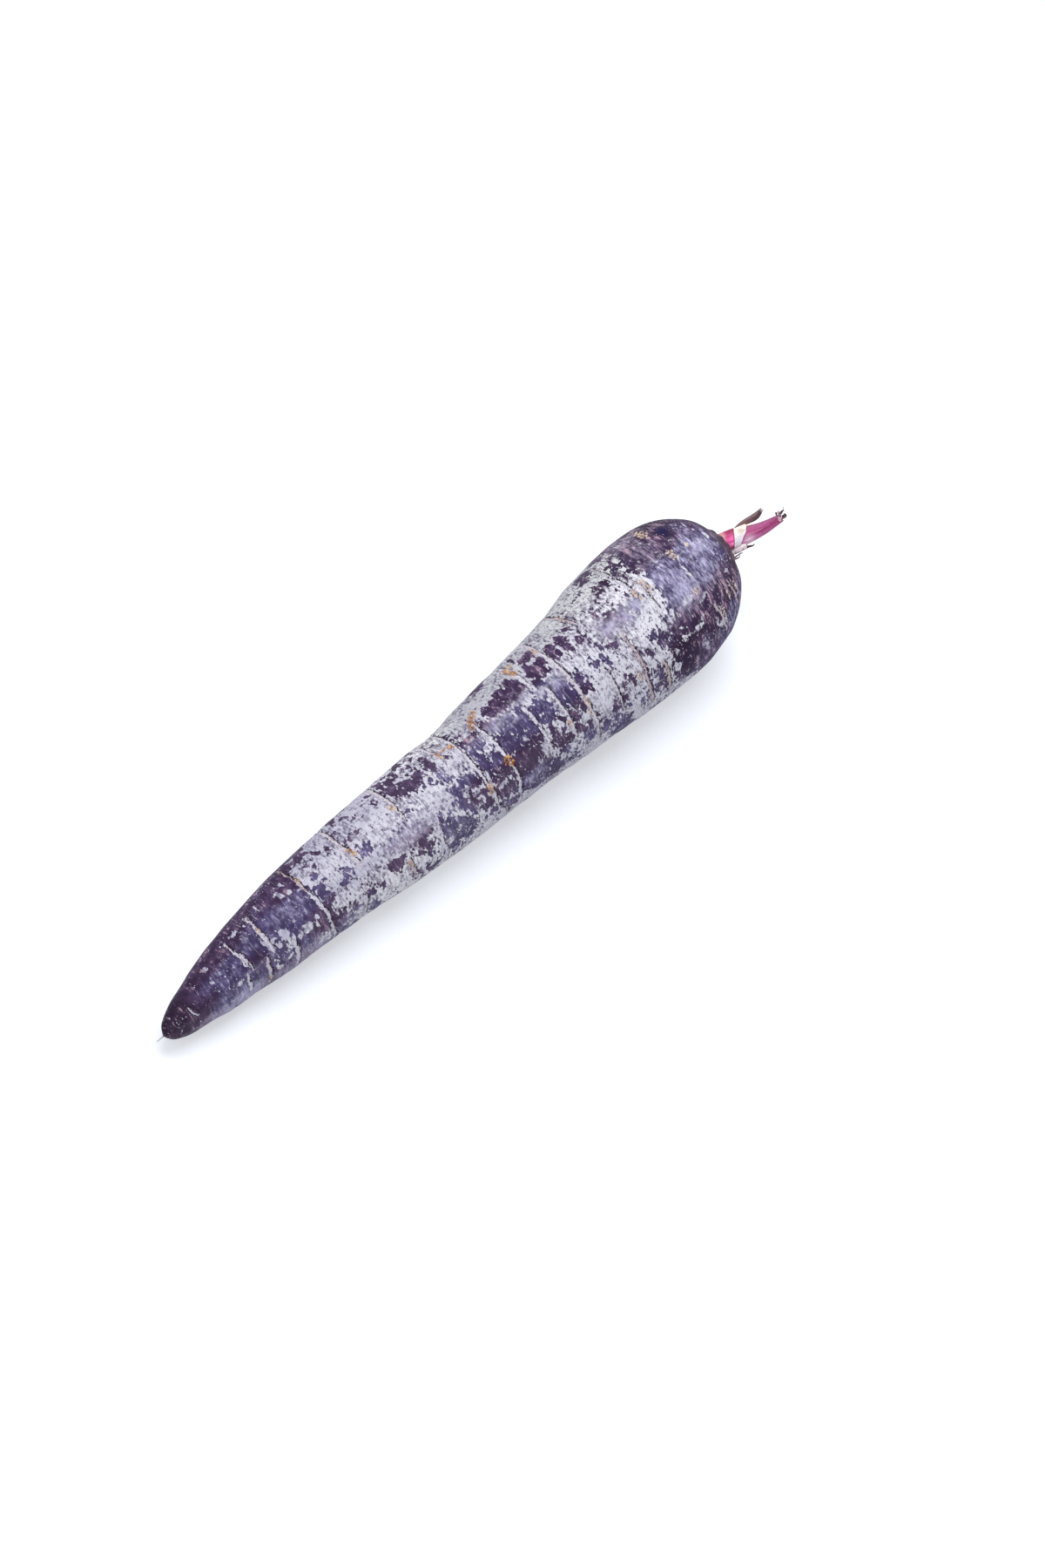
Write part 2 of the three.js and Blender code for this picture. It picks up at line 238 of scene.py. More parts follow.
# Worn places, where the film is broken up. The fifth number is how much of it is gone.
WORN_PATCHES = [
    (63, -10, 5, 14, 0.22), (64, 68, 6, 16, 0.34), (66, 40, 6, 22, 0.26), (76, 16, 5, 20, 0.22),
    (86, 55, 7, 15, 0.28), (95, 84, 9, 14, 0.34), (97, -15, 7, 20, 0.32), (100.6, 62, 6, 21, 0.58),
    (105, -10, 4, 16, 0.36), (109, 50, 6.5, 36, 0.4), (117.5, 45, 4, 36, 0.42), (127, 74, 11, 15, 0.8),
    (128, 4, 8, 10, 0.46), (135, -10, 9, 16, 0.36), (144, 6, 5, 10, 0.44), (146, 84, 8, 14, 0.5),
    (146.5, 60, 5, 26, 0.26), (154, 84, 10, 12, 0.34), (157, -10, 5, 14, 0.36), (161, 20, 4, 16, 0.26),
    (165, 60, 8, 24, 0.34), (172, -42, 6, 9, 0.34), (173, 8, 9, 17, 0.4), (173, 78, 7, 16, 0.6),
    (178, -20, 5, 10, 0.3), (180, 34, 4, 12, 0.34), (186, -18, 3.5, 14, 0.34), (186, 36, 4.5, 11, 0.48),
]
# Islands of film on the bare parts.
FILM_PATCHES = [
    (18.8, 12, 0.7, 4), (20, -14, 0.5, 6), (24.4, 51, 0.7, 4), (27.3, 58, 0.5, 3), (31.6, -19, 0.7, 5),
    (36.4, 73, 1.4, 3), (36.6, 34, 0.9, 13), (38.2, 32, 1, 3), (39, 46, 0.9, 4), (40, 68, 0.5, 3),
    (41.2, -18, 0.4, 5), (42, 37, 1.7, 7), (42, 53, 1.2, 7), (47.4, 50, 3.2, 8), (48.4, -22, 0.4, 4),
    (48.6, -9, 0.8, 5), (50.4, -18, 0.8, 5), (50.6, 81, 1.7, 8), (50.8, -3, 0.8, 3), (51.6, 50, 0.7, 9),
    (52.4, 84, 1, 10), (96.8, -24, 1.7, 4.5), (98.4, -17, 0.5, 5), (99.8, -18, 0.7, 2), (116.4, 6, 0.9, 2),
    (117.6, 54, 1.6, 2), (118.2, 75, 1, 3), (118.6, -1, 0.8, 2), (130, 33, 0.7, 3), (130.4, 61, 0.7, 4),
    (130.6, 34, 0.5, 3), (141, 46, 1.2, 3), (146.8, -17, 0.9, 4), (148.5, -20, 0.7, 4), (154.6, 29, 0.7, 2),
    (156, -16, 0.5, 3), (181, 76, 1, 6), (182.4, 62, 0.8, 2), (183.6, 42, 0.7, 4), (186.6, -15, 0.8, 3),
    (186.6, 58, 0.6, 2), (187.2, -27, 0.6, 4), (191.6, 34, 1, 2), (192, 46, 0.5, 3), (192.4, -40, 0.5, 3),
    (192.6, 80, 0.5, 4), (193.6, 56, 3, 1.3), (194.6, 35, 1.6, 2), (198, 44, 1.6, 2), (199.4, 68, 0.6, 5),
    (199.8, 16, 0.4, 9), (200.8, 58, 0.8, 5), (201.6, 74, 1.4, 7), (210.6, 42, 0.9, 2),
    (211.4, -16, 0.4, 6), (213.4, 4, 0.6, 7),
]
# Thin lines of film left on the bare shoulder: place and angle of both ends, half width.
STROKES = [
    (184, 59, 193.8, 59, 0.34), (180.8, 46, 182.6, 52, 0.4), (182.6, 52, 181.6, 56, 0.36),
    (187.5, 50, 189.2, 53, 0.36),
]
# Hazy places, where a thin film lets the skin show; on the top and on the low side near the tip they are
# also painted sheen. The fifth number is its share.
HAZES_AND_SHEEN = [
    (14, -46, 8, 14, 0.25), (20, 12, 6, 20, 0.24), (20, 62, 9, 16, 0.32), (22, 92, 14, 22, 0.9),
    (30, 42, 22, 26, 0.2), (32, 8, 5, 20, 0.3), (40, 66, 9, 12, 0.26), (44, 92, 12, 22, 0.75),
    (46.5, 14, 7, 17, 0.38), (48, -50, 5, 12, 0.2), (62, 60, 6, 14, 0.2), (62, 84, 8, 18, 0.45),
    (85.5, 36, 6.5, 9, 0.95), (91, 38, 3.5, 7, 0.85), (99.5, 66, 6.5, 13, 0.38), (110, 7, 7, 11, 0.4),
    (118, 4, 3.5, 8, 0.35), (118, 66, 3.5, 8, 0.3), (126.5, 4, 7, 8, 0.6), (128, 72, 6, 6, 0.45),
    (129, 2, 4.5, 6, 0.45), (131, 14, 4, 4, 0.5), (133, 66, 4, 5, 0.35), (137, -2, 6, 7, 0.4),
    (137, 2, 4, 5, 0.6), (143, 10, 2, 6, 0.65), (148, 12, 3.5, 8, 0.6), (168.6, 3, 3, 6, 0.75),
    (170, 11, 3.5, 7, 0.8), (175, 13, 4.5, 9, 0.8), (181, 12, 2.5, 8, 0.85), (186, 40, 4.5, 8, 0.4),
    (186, 90, 8, 10, 0.25), (192, -32, 4, 14, 0.3), (194, -42, 7, 16, 0.56), (194, -6, 5.5, 9, 0.45),
    (194, 14, 6, 15, 0.55), (194, 84, 7, 10, 0.36), (195, -18, 5, 11, 0.48), (195, 31, 6.5, 14, 0.8),
    (195, 35, 6, 5, 0.55), (205, 24, 6, 10, 0.5), (205, 32, 6, 11, 0.66), (206, 80, 8, 12, 0.35),
    (207, 10, 7, 18, 0.62), (208, 48, 5, 10, 0.25),
]
# Deep places, where the bare skin is darker: partly its own colour, partly painted shade, as along the low
# edge and at the crown's upper-left edge. The fifth number is by how much.
DEEPS_AND_SHADE = [
    (5, -20, 6, 55, 0.5), (18, -25, 8, 16, 0.5), (34, -20, 5, 14, 0.3), (101, 70, 7, 14, 0.4),
    (127, 44, 8, 30, 0.45), (132, 84, 9, 12, 0.5), (178, -44, 4, 12, 0.4), (179, -20, 10, 22, 0.7),
    (185, 68, 6, 19, 0.8), (187, -22, 4, 9, 0.6), (193, -50, 7, 12, 0.35), (193, -20, 5, 6, 0.4),
    (193, 62, 5, 14, 0.5), (199, 78, 6, 10, 0.4), (204, -18, 3, 12, 0.6), (205, -42, 12, 18, 0.85),
    (209, 52, 4, 7, 0.7),
]
# One ink-blue stain.
INK_STAIN = (204.2, -21, 1.5, 9)
# Scars where rootlets broke off. The fifth number is how orange they are.
SCARS = [
    (108.8, -15, 0.9, 5, 0.7), (109, -8, 0.7, 3, 0.5), (110.6, -13, 1.2, 2, 0.7), (112.8, -10, 1.2, 4, 0.8),
    (121.4, -10, 1, 6, 0.8), (122.6, -16, 1.1, 5, 0.9), (124, -20, 1.1, 5, 1), (125.2, -23, 0.9, 5, 0.6),
    (141.6, -31, 1.2, 8, 0.8), (142, -23, 0.9, 5, 0.9), (143.4, -34, 0.8, 4, 0.4), (122.4, 38, 1.4, 5, 1),
    (123.2, 43, 0.9, 4, 1), (113.4, 50, 1, 6, 0.7), (114.2, 46, 0.5, 3, 0.5), (151.6, 44, 0.9, 4, 0.2),
    (150.8, 52, 0.5, 6, 0.1), (71, 8, 1, 6, 0.8), (71.6, 13, 0.6, 4, 0.6), (87.8, -3, 0.7, 5, 0.1),
    (88.7, 0, 0.7, 5, 0.2), (199.6, -31, 1.5, 9, 0.3), (199.4, 2, 1.5, 6, 0.05), (182.8, 6, 1, 6, 0.3),
    (186.6, 7, 1.2, 7, 0.2), (168.9, 56, 1, 7, 0), (163.8, -28, 0.5, 8, 0.3), (177.4, 70, 0.7, 8, 0.15),
    (151.4, -25, 0.6, 6, 0.4), (143.8, 50, 0.7, 4, 0.4), (82.5, 64, 0.6, 6, 0.5), (37.3, 7, 0.5, 6, 0.1),
    (206.8, 61, 0.5, 8, 0), (211, 66, 0.5, 9, 0), (202.6, 67, 0.6, 6, 0), (32.4, 84, 0.6, 6, 0.3),
    (197.6, 35, 1.4, 3, 0), (205.6, 4, 0.7, 3, 0), (55, -8, 0.5, 7, 0.3),
]

# Zones where the film is paler or darker, partly its own tone and partly painted light, as the paler band
# along the top is a painted highlight; and where it is a warm grey instead of violet-grey.
FILM_TONE_AND_HIGHLIGHT = [
    (0.55, ALL_ROUND, (30, 190), TO_CROWN), (0.60, (34, 150, 24), FROM_TIP, (92, 124)),
    (0.28, (-16, 34, 16), FROM_TIP, (110, 150)), (0.50, (-90, -22, 14), (84, 94), (110, 122)),
    (0.16, (-90, -22, 14), (178, 184), TO_CROWN), (-0.12, (-90, -22, 14), (160, 168), TO_CROWN),
    (0.30, (62, 140, 12), FROM_TIP, (76, 88)), (-0.25, (-56, -2, 12), (112, 124), (154, 166)),
    (0.20, (-16, 40, 12), (160, 172), TO_CROWN),
]
FILM_WARMTH = [(1, (-120, -4, 22), (94, 120), TO_CROWN)]
# Zones where the bare skin is violet-blue instead of maroon: partly its own hue, partly painted sheen, as in
# the band along the top and the blue of the low side. The tip never is.
VIOLET_AND_SHEEN_SKIN = [
    (1, (-6, 44, 16), FROM_TIP, TO_CROWN), (0.75, (58, 120, 16), FROM_TIP, TO_CROWN),
    (0.7, (30, 76, 14), FROM_TIP, (44, 54)), (1, (170, 250, 30), FROM_TIP, TO_CROWN),
    (0.4, (-40, 40, 20), (198, 206), TO_CROWN),
]
MAROON_TIP = (8, 20)
# Zones where the bare skin is paler: how much of its veil's tone is mixed in. On the low side this is
# painted light; the zones all round the root are the skin's own tone.
SKIN_LIFT_AND_UNDERSIDE_LIGHT = [
    (0.07, (36, 140, 16), FROM_TIP, (150, 178)), (0.04, ALL_ROUND, (54, 60), (106, 114)),
    (0.05, ALL_ROUND, (160, 168), (176, 182)),
]
# Zones where the bare skin is streaky: the shoulder, and more so where it is rough.
SKIN_STREAKS = [(1, ALL_ROUND, (184, 196), TO_CROWN), (1, (34, 96, 16), (194, 204), TO_CROWN)]
# Places along between which the crown's brown and the tip's and the thread's tones come in.
CROWN_EDGE = (213.5, 217.5)
TIP_EDGE = (4, 15)
THREAD_EDGE = (-0.6, 0.1)


# ---------------------------------------------------------------- fields over the root


def spline(points, share, mirror_ends):
    """The uniform Catmull-Rom curve through points, at shares 0 to 1 of its knots."""
    points = np.asarray(points, float)
    last = len(points) - 1
    knot = np.clip(np.asarray(share, float), 0, 1) * last
    first = np.minimum(knot.astype(int), last - 1)
    rest = (knot - first)[..., None]
    before = 2 * points[0] - points[1] if mirror_ends else points[0]
    after = 2 * points[-1] - points[-2] if mirror_ends else points[-1]
    padded = np.vstack([before, points, after])
    p0, p1, p2, p3 = (padded[first + step] for step in range(4))
    slope1 = (p2 - p0) / 2
    slope2 = (p3 - p1) / 2
    cubic = 2 * p1 - 2 * p2 + slope1 + slope2
    square = 3 * p2 - 3 * p1 - 2 * slope1 - slope2
    return ((cubic * rest + square) * rest + slope1) * rest + p1


def unit(vectors):
    return vectors / np.maximum(np.linalg.norm(vectors, axis=-1, keepdims=True), 1e-9)


def smooth_step(value, low, high):
    share = np.clip((value - low) / (high - low), 0, 1)
    return share * share * (3 - 2 * share)


def turn_between(angle, middle):
    """The signed turn from middle to angle, in degrees, from -180 to 180."""
    return (angle - middle + 180) % 360 - 180


def arc_window(angle, start, end, soft):
    """1 between two angles, falling to 0 at each end."""
    off = np.abs(turn_between(angle, (start + end) / 2))
    return 1 - smooth_step(off, (end - start) / 2 - soft, (end - start) / 2)


def zones(along, angle, table):
    """Each zone of a table, over the grid."""
    return [
        share * arc_window(angle, *arc) * smooth_step(along, *rise) * (1 - smooth_step(along, *fade))
        for share, arc, rise, fade in table
    ]


def inside(reach, soft):
    """1 where reach is under 1, falling to 0 beyond it, with an edge as wide as the share soft."""
    return 1 / (1 + np.exp((np.minimum(reach, 9) - 1) / soft))


def spot(along, angle, mark, soft):
    """1 inside an oval mark, 0 outside."""
    middle, middle_angle, half_length, half_angle = mark
    reach = np.hypot((along - middle) / half_length, turn_between(angle, middle_angle) / half_angle)
    return inside(reach, soft)


def patch(along, angle, mark, margin):
    """1 inside a patch of the film, widened by margin millimetres; larger patches are crisper."""
    middle, middle_angle, half_length, half_angle = mark
    wider = 1 + margin / half_length
    widened = (middle, middle_angle, half_length * wider, half_angle * wider)
    return spot(along, angle, widened, min(0.22, 0.32 / half_length))


def stroke(along, angle, line):
    """1 on a straight thin line over the shoulder, falling to 0 beside it."""
    start, start_angle, end, end_angle, half_width = line
    across = math.radians(end_angle - start_angle) * SHOULDER_RADIUS
    length = math.hypot(end - start, across)
    off_along = along - start
    off_across = np.radians(turn_between(angle, start_angle)) * SHOULDER_RADIUS
    done = np.clip((off_along * (end - start) + off_across * across) / length ** 2, 0, 1)
    distance = np.hypot(off_along - done * (end - start), off_across - done * across)
    return inside(distance / half_width, 0.3)


def random_waves(along, angle, seed, size):
    """A smooth random field with spread 1, whose swells are about size millimetres across."""
    rng = np.random.default_rng(seed)
    total = np.zeros_like(along)
    for _ in range(WAVE_COUNT):
        heading = rng.uniform(0, 2 * math.pi)
        pace = math.pi / (size * rng.uniform(*WAVE_SIZES))
        around = round(pace * math.sin(heading) * MEAN_RADIUS)
        phase = rng.uniform(0, 2 * math.pi)
        total += np.cos(pace * math.cos(heading) * along + around * np.radians(angle) + phase)
    return total * math.sqrt(2 / WAVE_COUNT)


def wobble(rng, turn, height, fewest, most):
    """A wave round the root with a random start, and with fewest to most swings in a full turn."""
    return height * np.sin(np.radians(turn * rng.uniform(fewest, most)) + rng.uniform(0, 6))


def strewn(seed, count, first, last, sizes, shape, *ranges):
    """Marks strewn over the far side by chance. Small ones are commoner."""
    rng = np.random.default_rng(seed)
    marks = []
    for _ in range(count):
        half_length = sizes[0] + (sizes[1] - sizes[0]) * rng.uniform(0, 1) ** SMALL_IS_COMMON
        half_angle = min(half_length * rng.uniform(*shape), WIDEST_STREWN)
        angle = rng.uniform(FAR_SIDE[0] - STREWN_OVERLAP, FAR_SIDE[1] + STREWN_OVERLAP)
        further = [rng.uniform(*limits) for limits in ranges]
        marks.append((rng.uniform(first, last), angle, half_length, half_angle, *further))
    return marks


def strongest(fields):
    """The largest of the fields at every point."""
    return reduce(np.maximum, fields)


def strongest_share(along, angle, marks, soft):
    """The largest share that any mark gives each point. A mark's fifth number is its share."""
    return strongest(share * spot(along, angle, mark, soft) for *mark, share in marks)


def all_creases():
    """The placed creases, and those strewn over the far side."""
    rng = np.random.default_rng(FAR_CREASE_SEED)
    creases = list(CREASES)
    for place in np.linspace(*FAR_CREASE_SPAN, FAR_CREASES):
        reach = rng.uniform(*FAR_CREASE_REACH)
        middle = rng.uniform(FAR_SIDE[0] + reach / 2, FAR_SIDE[1] - reach / 2)
        start = place + rng.uniform(-FAR_CREASE_STRAY, FAR_CREASE_STRAY)
        creases.append((
            middle - reach / 2, middle + reach / 2,
            start, start + rng.uniform(-0.8, 0.8), start + rng.uniform(-1.5, 1.5),
            *(rng.uniform(*limits) for limits in FAR_CREASE_FINISH),
        ))
    return creases


def hollow(off, depth, half_width):
    """A smooth groove's depth at a distance off its middle line."""
    return depth * np.exp(-(off / half_width) ** 2)


def crease_marks(along, angle):
    """The creases over the grid: their relief, and for the nearest crease its marks.

    The marks are the distance to its middle line, its half width, its strength, how dark its
    edges are and how tan it is.
    """
    rng = np.random.default_rng(SWAY_SEED)
    relief = np.zeros_like(along)
    nearest = np.full_like(along, CREASE_REACH)
    unmarked = {"gap": CREASE_REACH, "half": 0.5, "crease": 0.0, "dark": 0.0, "tan": 0.0}
    marks = {key: np.full_like(along, value) for key, value in unmarked.items()}
    for first, last, at_first, at_middle, at_last, depth, width, darkness, tan in all_creases():
        turn = turn_between(angle, (first + last) / 2)
        share = turn / ((last - first) / 2)
        middle_line = at_middle + (at_last - at_first) / 2 * share
        middle_line += ((at_first + at_last) / 2 - at_middle) * np.minimum(share ** 2, 1.5)
        off = along - middle_line - sum(wobble(rng, turn, *sway) for sway in CREASE_SWAYS)
        half = width / 2 * (0.9 + wobble(rng, turn, *WIDTH_SWAY))
        strength = arc_window(angle, first, last, CREASE_FADE * (last - first) / 2)
        profile = RING_HEIGHT * (1 - smooth_step(np.abs(off), half * 0.7, half * 1.15 + 0.1))
        profile -= hollow(off - half, *CROWN_GROOVE) + hollow(off + half, *TIP_GROOVE) + hollow(off, *WAIST)
        relief += strength * depth * profile
        distance = np.abs(off) + CREASE_REACH * (1 - strength)
        is_nearer = distance < nearest
        nearest = np.where(is_nearer, distance, nearest)
        dark = strength * (0.3 + 0.7 * darkness)
        for key, value in zip(marks, (off, half, strength, dark, tan)):
            marks[key] = np.where(is_nearer, value, marks[key])
    return relief, marks


def scar_marks(along, angle):
    """Relief, scar and orange share of the rootlet scars, over the grid."""
    relief = np.zeros_like(along)
    scar = np.zeros_like(along)
    orange = np.zeros_like(along)
    for *mark, share in SCARS + strewn(*FAR_SCARS):
        place, middle_angle, half_length, half_angle = mark
        tuft = spot(along, angle, mark, 0.22)
        pit = spot(along, angle, (place + 0.1, middle_angle, half_length * 0.35, half_angle * 0.5), 0.3)
        relief += TUFT_HEIGHT * tuft - PIT_DEPTH * pit
        scar = np.maximum(scar, tuft)
        orange = np.where(tuft > 0.02, share, orange)
    return relief, scar, orange


def film_edge(angle, sway, place, shifts, far_sway):
    """Where the film starts or ends, at every point's angle."""
    for shift, *arc in shifts:
        place = place + shift * arc_window(angle, *arc)
    return place + far_sway * sway * arc_window(angle, *FAR_SIDE, 20)


def film_cover(along, angle):
    """How much of the silvery film is left, before its ragged edge: near 0 bare, near 1 whole."""
    chance = random_waves(along, angle, *LEVEL_FIELD)
    sway = random_waves(along, angle, *EDGE_FIELD)
    shift = FILM_WANDER * random_waves(along, angle, *ALONG_FIELD)
    swing = FILM_WANDER * random_waves(along, angle, *ROUND_FIELD) / FILM_RADIUS
    along = along + shift
    angle = angle + np.degrees(swing)
    start = film_edge(angle, sway, *FILM_START)
    end = film_edge(angle, sway, *FILM_END)
    cover = smooth_step(along, start - FILM_START_FADE, start + FILM_START_FADE)
    cover *= 1 - smooth_step(along, end - FILM_END_FADE, end + FILM_END_FADE)
    bare = strongest(patch(along, angle, mark, BARE_MARGIN) for mark in BARE_PATCHES + strewn(*FAR_BARE))
    worn = strongest_share(along, angle, WORN_PATCHES + strewn(*FAR_WORN), 0.3)
    islands = strongest(patch(along, angle, mark, 0) for mark in FILM_PATCHES + strewn(*FAR_FILM))
    lines = strongest(LINE_SHARE * stroke(along, angle, line) for line in STROKES)
    cover = strongest([cover * (1 - BARE_SHARE * bare) * (1 - worn), islands, lines])
    return BARE_LEVEL + (WHOLE_LEVEL - BARE_LEVEL) * cover + CHANCE_LEVEL * chance


def violet_and_sheen_cast(along, angle):
    """Where the bare skin is violet-blue (1) and where maroon (0); the violet is partly painted sheen."""
    cast = sum(zones(along, angle, VIOLET_AND_SHEEN_SKIN)) + VIOLET_CHANCE * random_waves(along, angle, *VIOLET_FIELD)
    return np.clip(cast * smooth_step(along, *MAROON_TIP), 0, 1)


def skin_marks(along, angle):
    """What the root's material reads at each point, besides its creases and scars."""
    return {
        "film": film_cover(along, angle),
        "tone_and_highlight": np.clip(sum(zones(along, angle, FILM_TONE_AND_HIGHLIGHT)), 0, 1),
        "warm": sum(zones(along, angle, FILM_WARMTH)),
        "haze_and_sheen": strongest_share(along, angle, HAZES_AND_SHEEN + strewn(*FAR_HAZES), 0.3),
        "deep_and_shade": strongest_share(along, angle, DEEPS_AND_SHADE + strewn(*FAR_DEEPS), 0.35),
        "violet_and_sheen": violet_and_sheen_cast(along, angle),
        "lift_and_underside_light": strongest(zones(along, angle, SKIN_LIFT_AND_UNDERSIDE_LIGHT)),
        "shoulder": sum(zones(along, angle, SKIN_STREAKS)),
        "ink": 0.9 * spot(along, angle, INK_STAIN, 0.35),
        "crown": 0.8 * smooth_step(along, *CROWN_EDGE),
        "tip": 1 - smooth_step(along, *TIP_EDGE),
        "tail": 1 - smooth_step(along, *THREAD_EDGE),
    }


# ---------------------------------------------------------------- the root's points


def root_grid():
    """Place along and angle of every ring point, with the plain radius there."""
    outline = spline(ROOT_OUTLINE, np.linspace(0, 1, OUTLINE_SAMPLES), False) * (ROOT_LENGTH, SHOULDER_RADIUS)
    walked = np.concatenate([[0], np.cumsum(np.hypot(*np.diff(outline, axis=0).T))])
    wanted = np.linspace(0, walked[-1], ROOT_RINGS + 1)
    angle = np.arange(ROOT_SIDES) * 360 / ROOT_SIDES
    along, angle = np.meshgrid(np.interp(wanted, walked, outline[:, 0]), angle, indexing="ij")
    radius = np.maximum(np.interp(wanted, walked, outline[:, 1]), 0)
    return along, angle, np.repeat(radius[:, None], ROOT_SIDES, axis=1)


def root_surface(along, angle, radius):
    """The smooth root's points, in the carrot's own frame."""
    turn = np.radians(angle)
    swell = sum(
        size * np.cos(count * turn + twist * along + start) for size, count, twist, start in ROOT_WAVES
    )
    full = radius * (1 + swell)
    centre = spline(ROOT_BEND, along / ROOT_LENGTH, True)
    y = centre[..., 0] - full * np.sin(turn)
    z = centre[..., 1] + full * np.cos(turn)
    return np.stack([along, y, z], axis=-1)


def outward(points):
    """Unit normals of a closed ring grid, pointing out."""
    down = np.gradient(points, axis=0)
    around = np.roll(points, -1, axis=1) - np.roll(points, 1, axis=1)
    return -unit(np.cross(down, around))


def relief_swells(along, angle):
    """The root's own unevenness: swells and dents."""
    swells = sum(height * random_waves(along, angle, seed, size) for height, seed, size in SWELLS)
    swells *= smooth_step(along, *SWELLS_START)
    for *mark, depth in DENTS:
        swells -= depth * spot(along, angle, mark, 0.35)
    return swells


def crown_relief(along, angle, radius):
    """Rings and folds of old leaf bases round the stubs, on a low mound."""
    near = smooth_step(along, *MOUND_RISE) * (1 - smooth_step(radius, *MOUND_FADE))
    ring = np.sin(radius * 2.2 + 0.6 * np.sin(np.radians(angle * 3)))
    fold = np.sin(np.radians(angle * 11) + 0.8 * np.sin(np.radians(angle * 2)))
    return near * (MOUND_HEIGHT + MOUND_RING * ring + MOUND_FOLD * fold)


def lay_down(points):
    """Turns the carrot's own frame to how it lies, still in millimetres."""
    sin_tilt = math.sin(LYING_TILT)
    cos_tilt = math.cos(LYING_TILT)
    x = points[..., 0] * cos_tilt - points[..., 2] * sin_tilt
    z = points[..., 0] * sin_tilt + points[..., 2] * cos_tilt
    return np.stack([x, points[..., 1], z], axis=-1)


def frame_shift(lying_root):
    """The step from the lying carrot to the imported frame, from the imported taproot's box."""
    low, high = (np.array(corner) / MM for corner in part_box("taproot"))
    own_low = lying_root.reshape(-1, 3).min(axis=0)
    own_high = lying_root.reshape(-1, 3).max(axis=0)
    middle = (low + high - own_low - own_high) / 2
    return np.array([high[0] - own_high[0], middle[1], -own_low[2] - GROUND_PRESS])


# ---------------------------------------------------------------- meshes


def write_mesh(name, shells):
    """A mesh object of closed shells, each a grid of rings in millimetres with its attributes.

    A shell's ends close on one point each.
    """
    points, faces, corners, values = [], [], [], {}
    first = 0
    for rank, (grid, attributes) in enumerate(shells):
        rings, sides = grid.shape[:2]
        shell_points = with_poles(grid)
        points.append(shell_points * MM)
        faces += ring_faces(rings, sides, first)
        corners.append(ring_corners(rings, sides, rank, len(shells)))
        for key, value in attributes.items():
            values.setdefault(key, []).append(with_poles(value))
        first += len(shell_points)
    mesh = bpy.data.meshes.new(name)
    mesh.from_pydata(np.vstack(points).tolist(), [], faces)
    mesh.uv_layers.new(name="OFBake").data.foreach_set("uv", np.vstack(corners).ravel())
    for key, value in values.items():
        write_attribute(mesh, key, np.concatenate(value))
    mesh.polygons.foreach_set("use_smooth", np.ones(len(mesh.polygons), bool))
    mesh.update()
    return add_object(name, mesh)


def add_object(name, data):
    thing = bpy.data.objects.new(name, data)
    bpy.context.scene.collection.objects.link(thing)
    return thing


def with_poles(grid):
    """A ring grid's values as one list, its first and last ring each drawn together at the list's end."""
    body = grid[1:-1].reshape((-1,) + grid.shape[2:])
    return np.concatenate([body, grid[:1].mean(axis=1), grid[-1:].mean(axis=1)])


def ring_faces(rings, sides, first):
    """The faces between a shell's rings and over its ends, for points numbered from first."""
    row = first + np.arange(rings - 3)[:, None] * sides
    column = np.arange(sides)[None, :]
    following = (column + 1) % sides
    next_row = row + sides
    quads = np.stack([row + column, next_row + column, next_row + following, row + following], axis=-1)
    pole = first + (rings - 2) * sides
    last_row = pole - sides
    first_fan = np.stack([np.full(sides, pole), first + column[0], first + following[0]], axis=-1)
    last_fan = np.stack([np.full(sides, pole + 1), last_row + following[0], last_row + column[0]], axis=-1)
    return quads.reshape(-1, 4).tolist() + first_fan.tolist() + last_fan.tolist()


def ring_corners(rings, sides, rank, shells):
    """The UV corners of a shell's faces: one strip for the grid, beside the other shells' strips."""
    row = np.arange(1, rings - 2)[:, None] + np.zeros(sides)
    column = np.arange(sides) + np.zeros((rings - 3, 1))
    side = np.arange(sides, dtype=float)
    none = side * 0
    quads_and_fans = [
        [(column, row), (column, row + 1), (column + 1, row + 1), (column + 1, row)],
        [(side + 0.5, none), (side, none + 1), (side + 1, none + 1)],
        [(side + 0.5, none + rings - 1), (side + 1, none + rings - 2), (side, none + rings - 2)],
    ]

    def corner_list(face):
        corners = [np.stack([(rank + u / sides) / shells, v / (rings - 1)], axis=-1) for u, v in face]
        return np.stack(corners, axis=-2).reshape(-1, 2)

    return np.vstack([corner_list(face) for face in quads_and_fans])


def write_attribute(mesh, key, values):
    """One value, or one colour, a vertex."""
    if values.ndim == 1:
        mesh.attributes.new(key, "FLOAT", "POINT").data.foreach_set("value", values)
    else:
        colours = np.column_stack([values, np.ones(len(values))])
        mesh.attributes.new(key, "FLOAT_COLOR", "POINT").data.foreach_set("color", colours.ravel())


# ---------------------------------------------------------------- materials


def tone(red, green, blue):
    """A colour as written in an ordinary 0 to 255 picture, as the shader wants it."""
    def linear(value):
        share = value / 255
        return share / 12.92 if share <= 0.04045 else ((share + 0.055) / 1.055) ** 2.4
    return (linear(red), linear(green), linear(blue), 1.0)


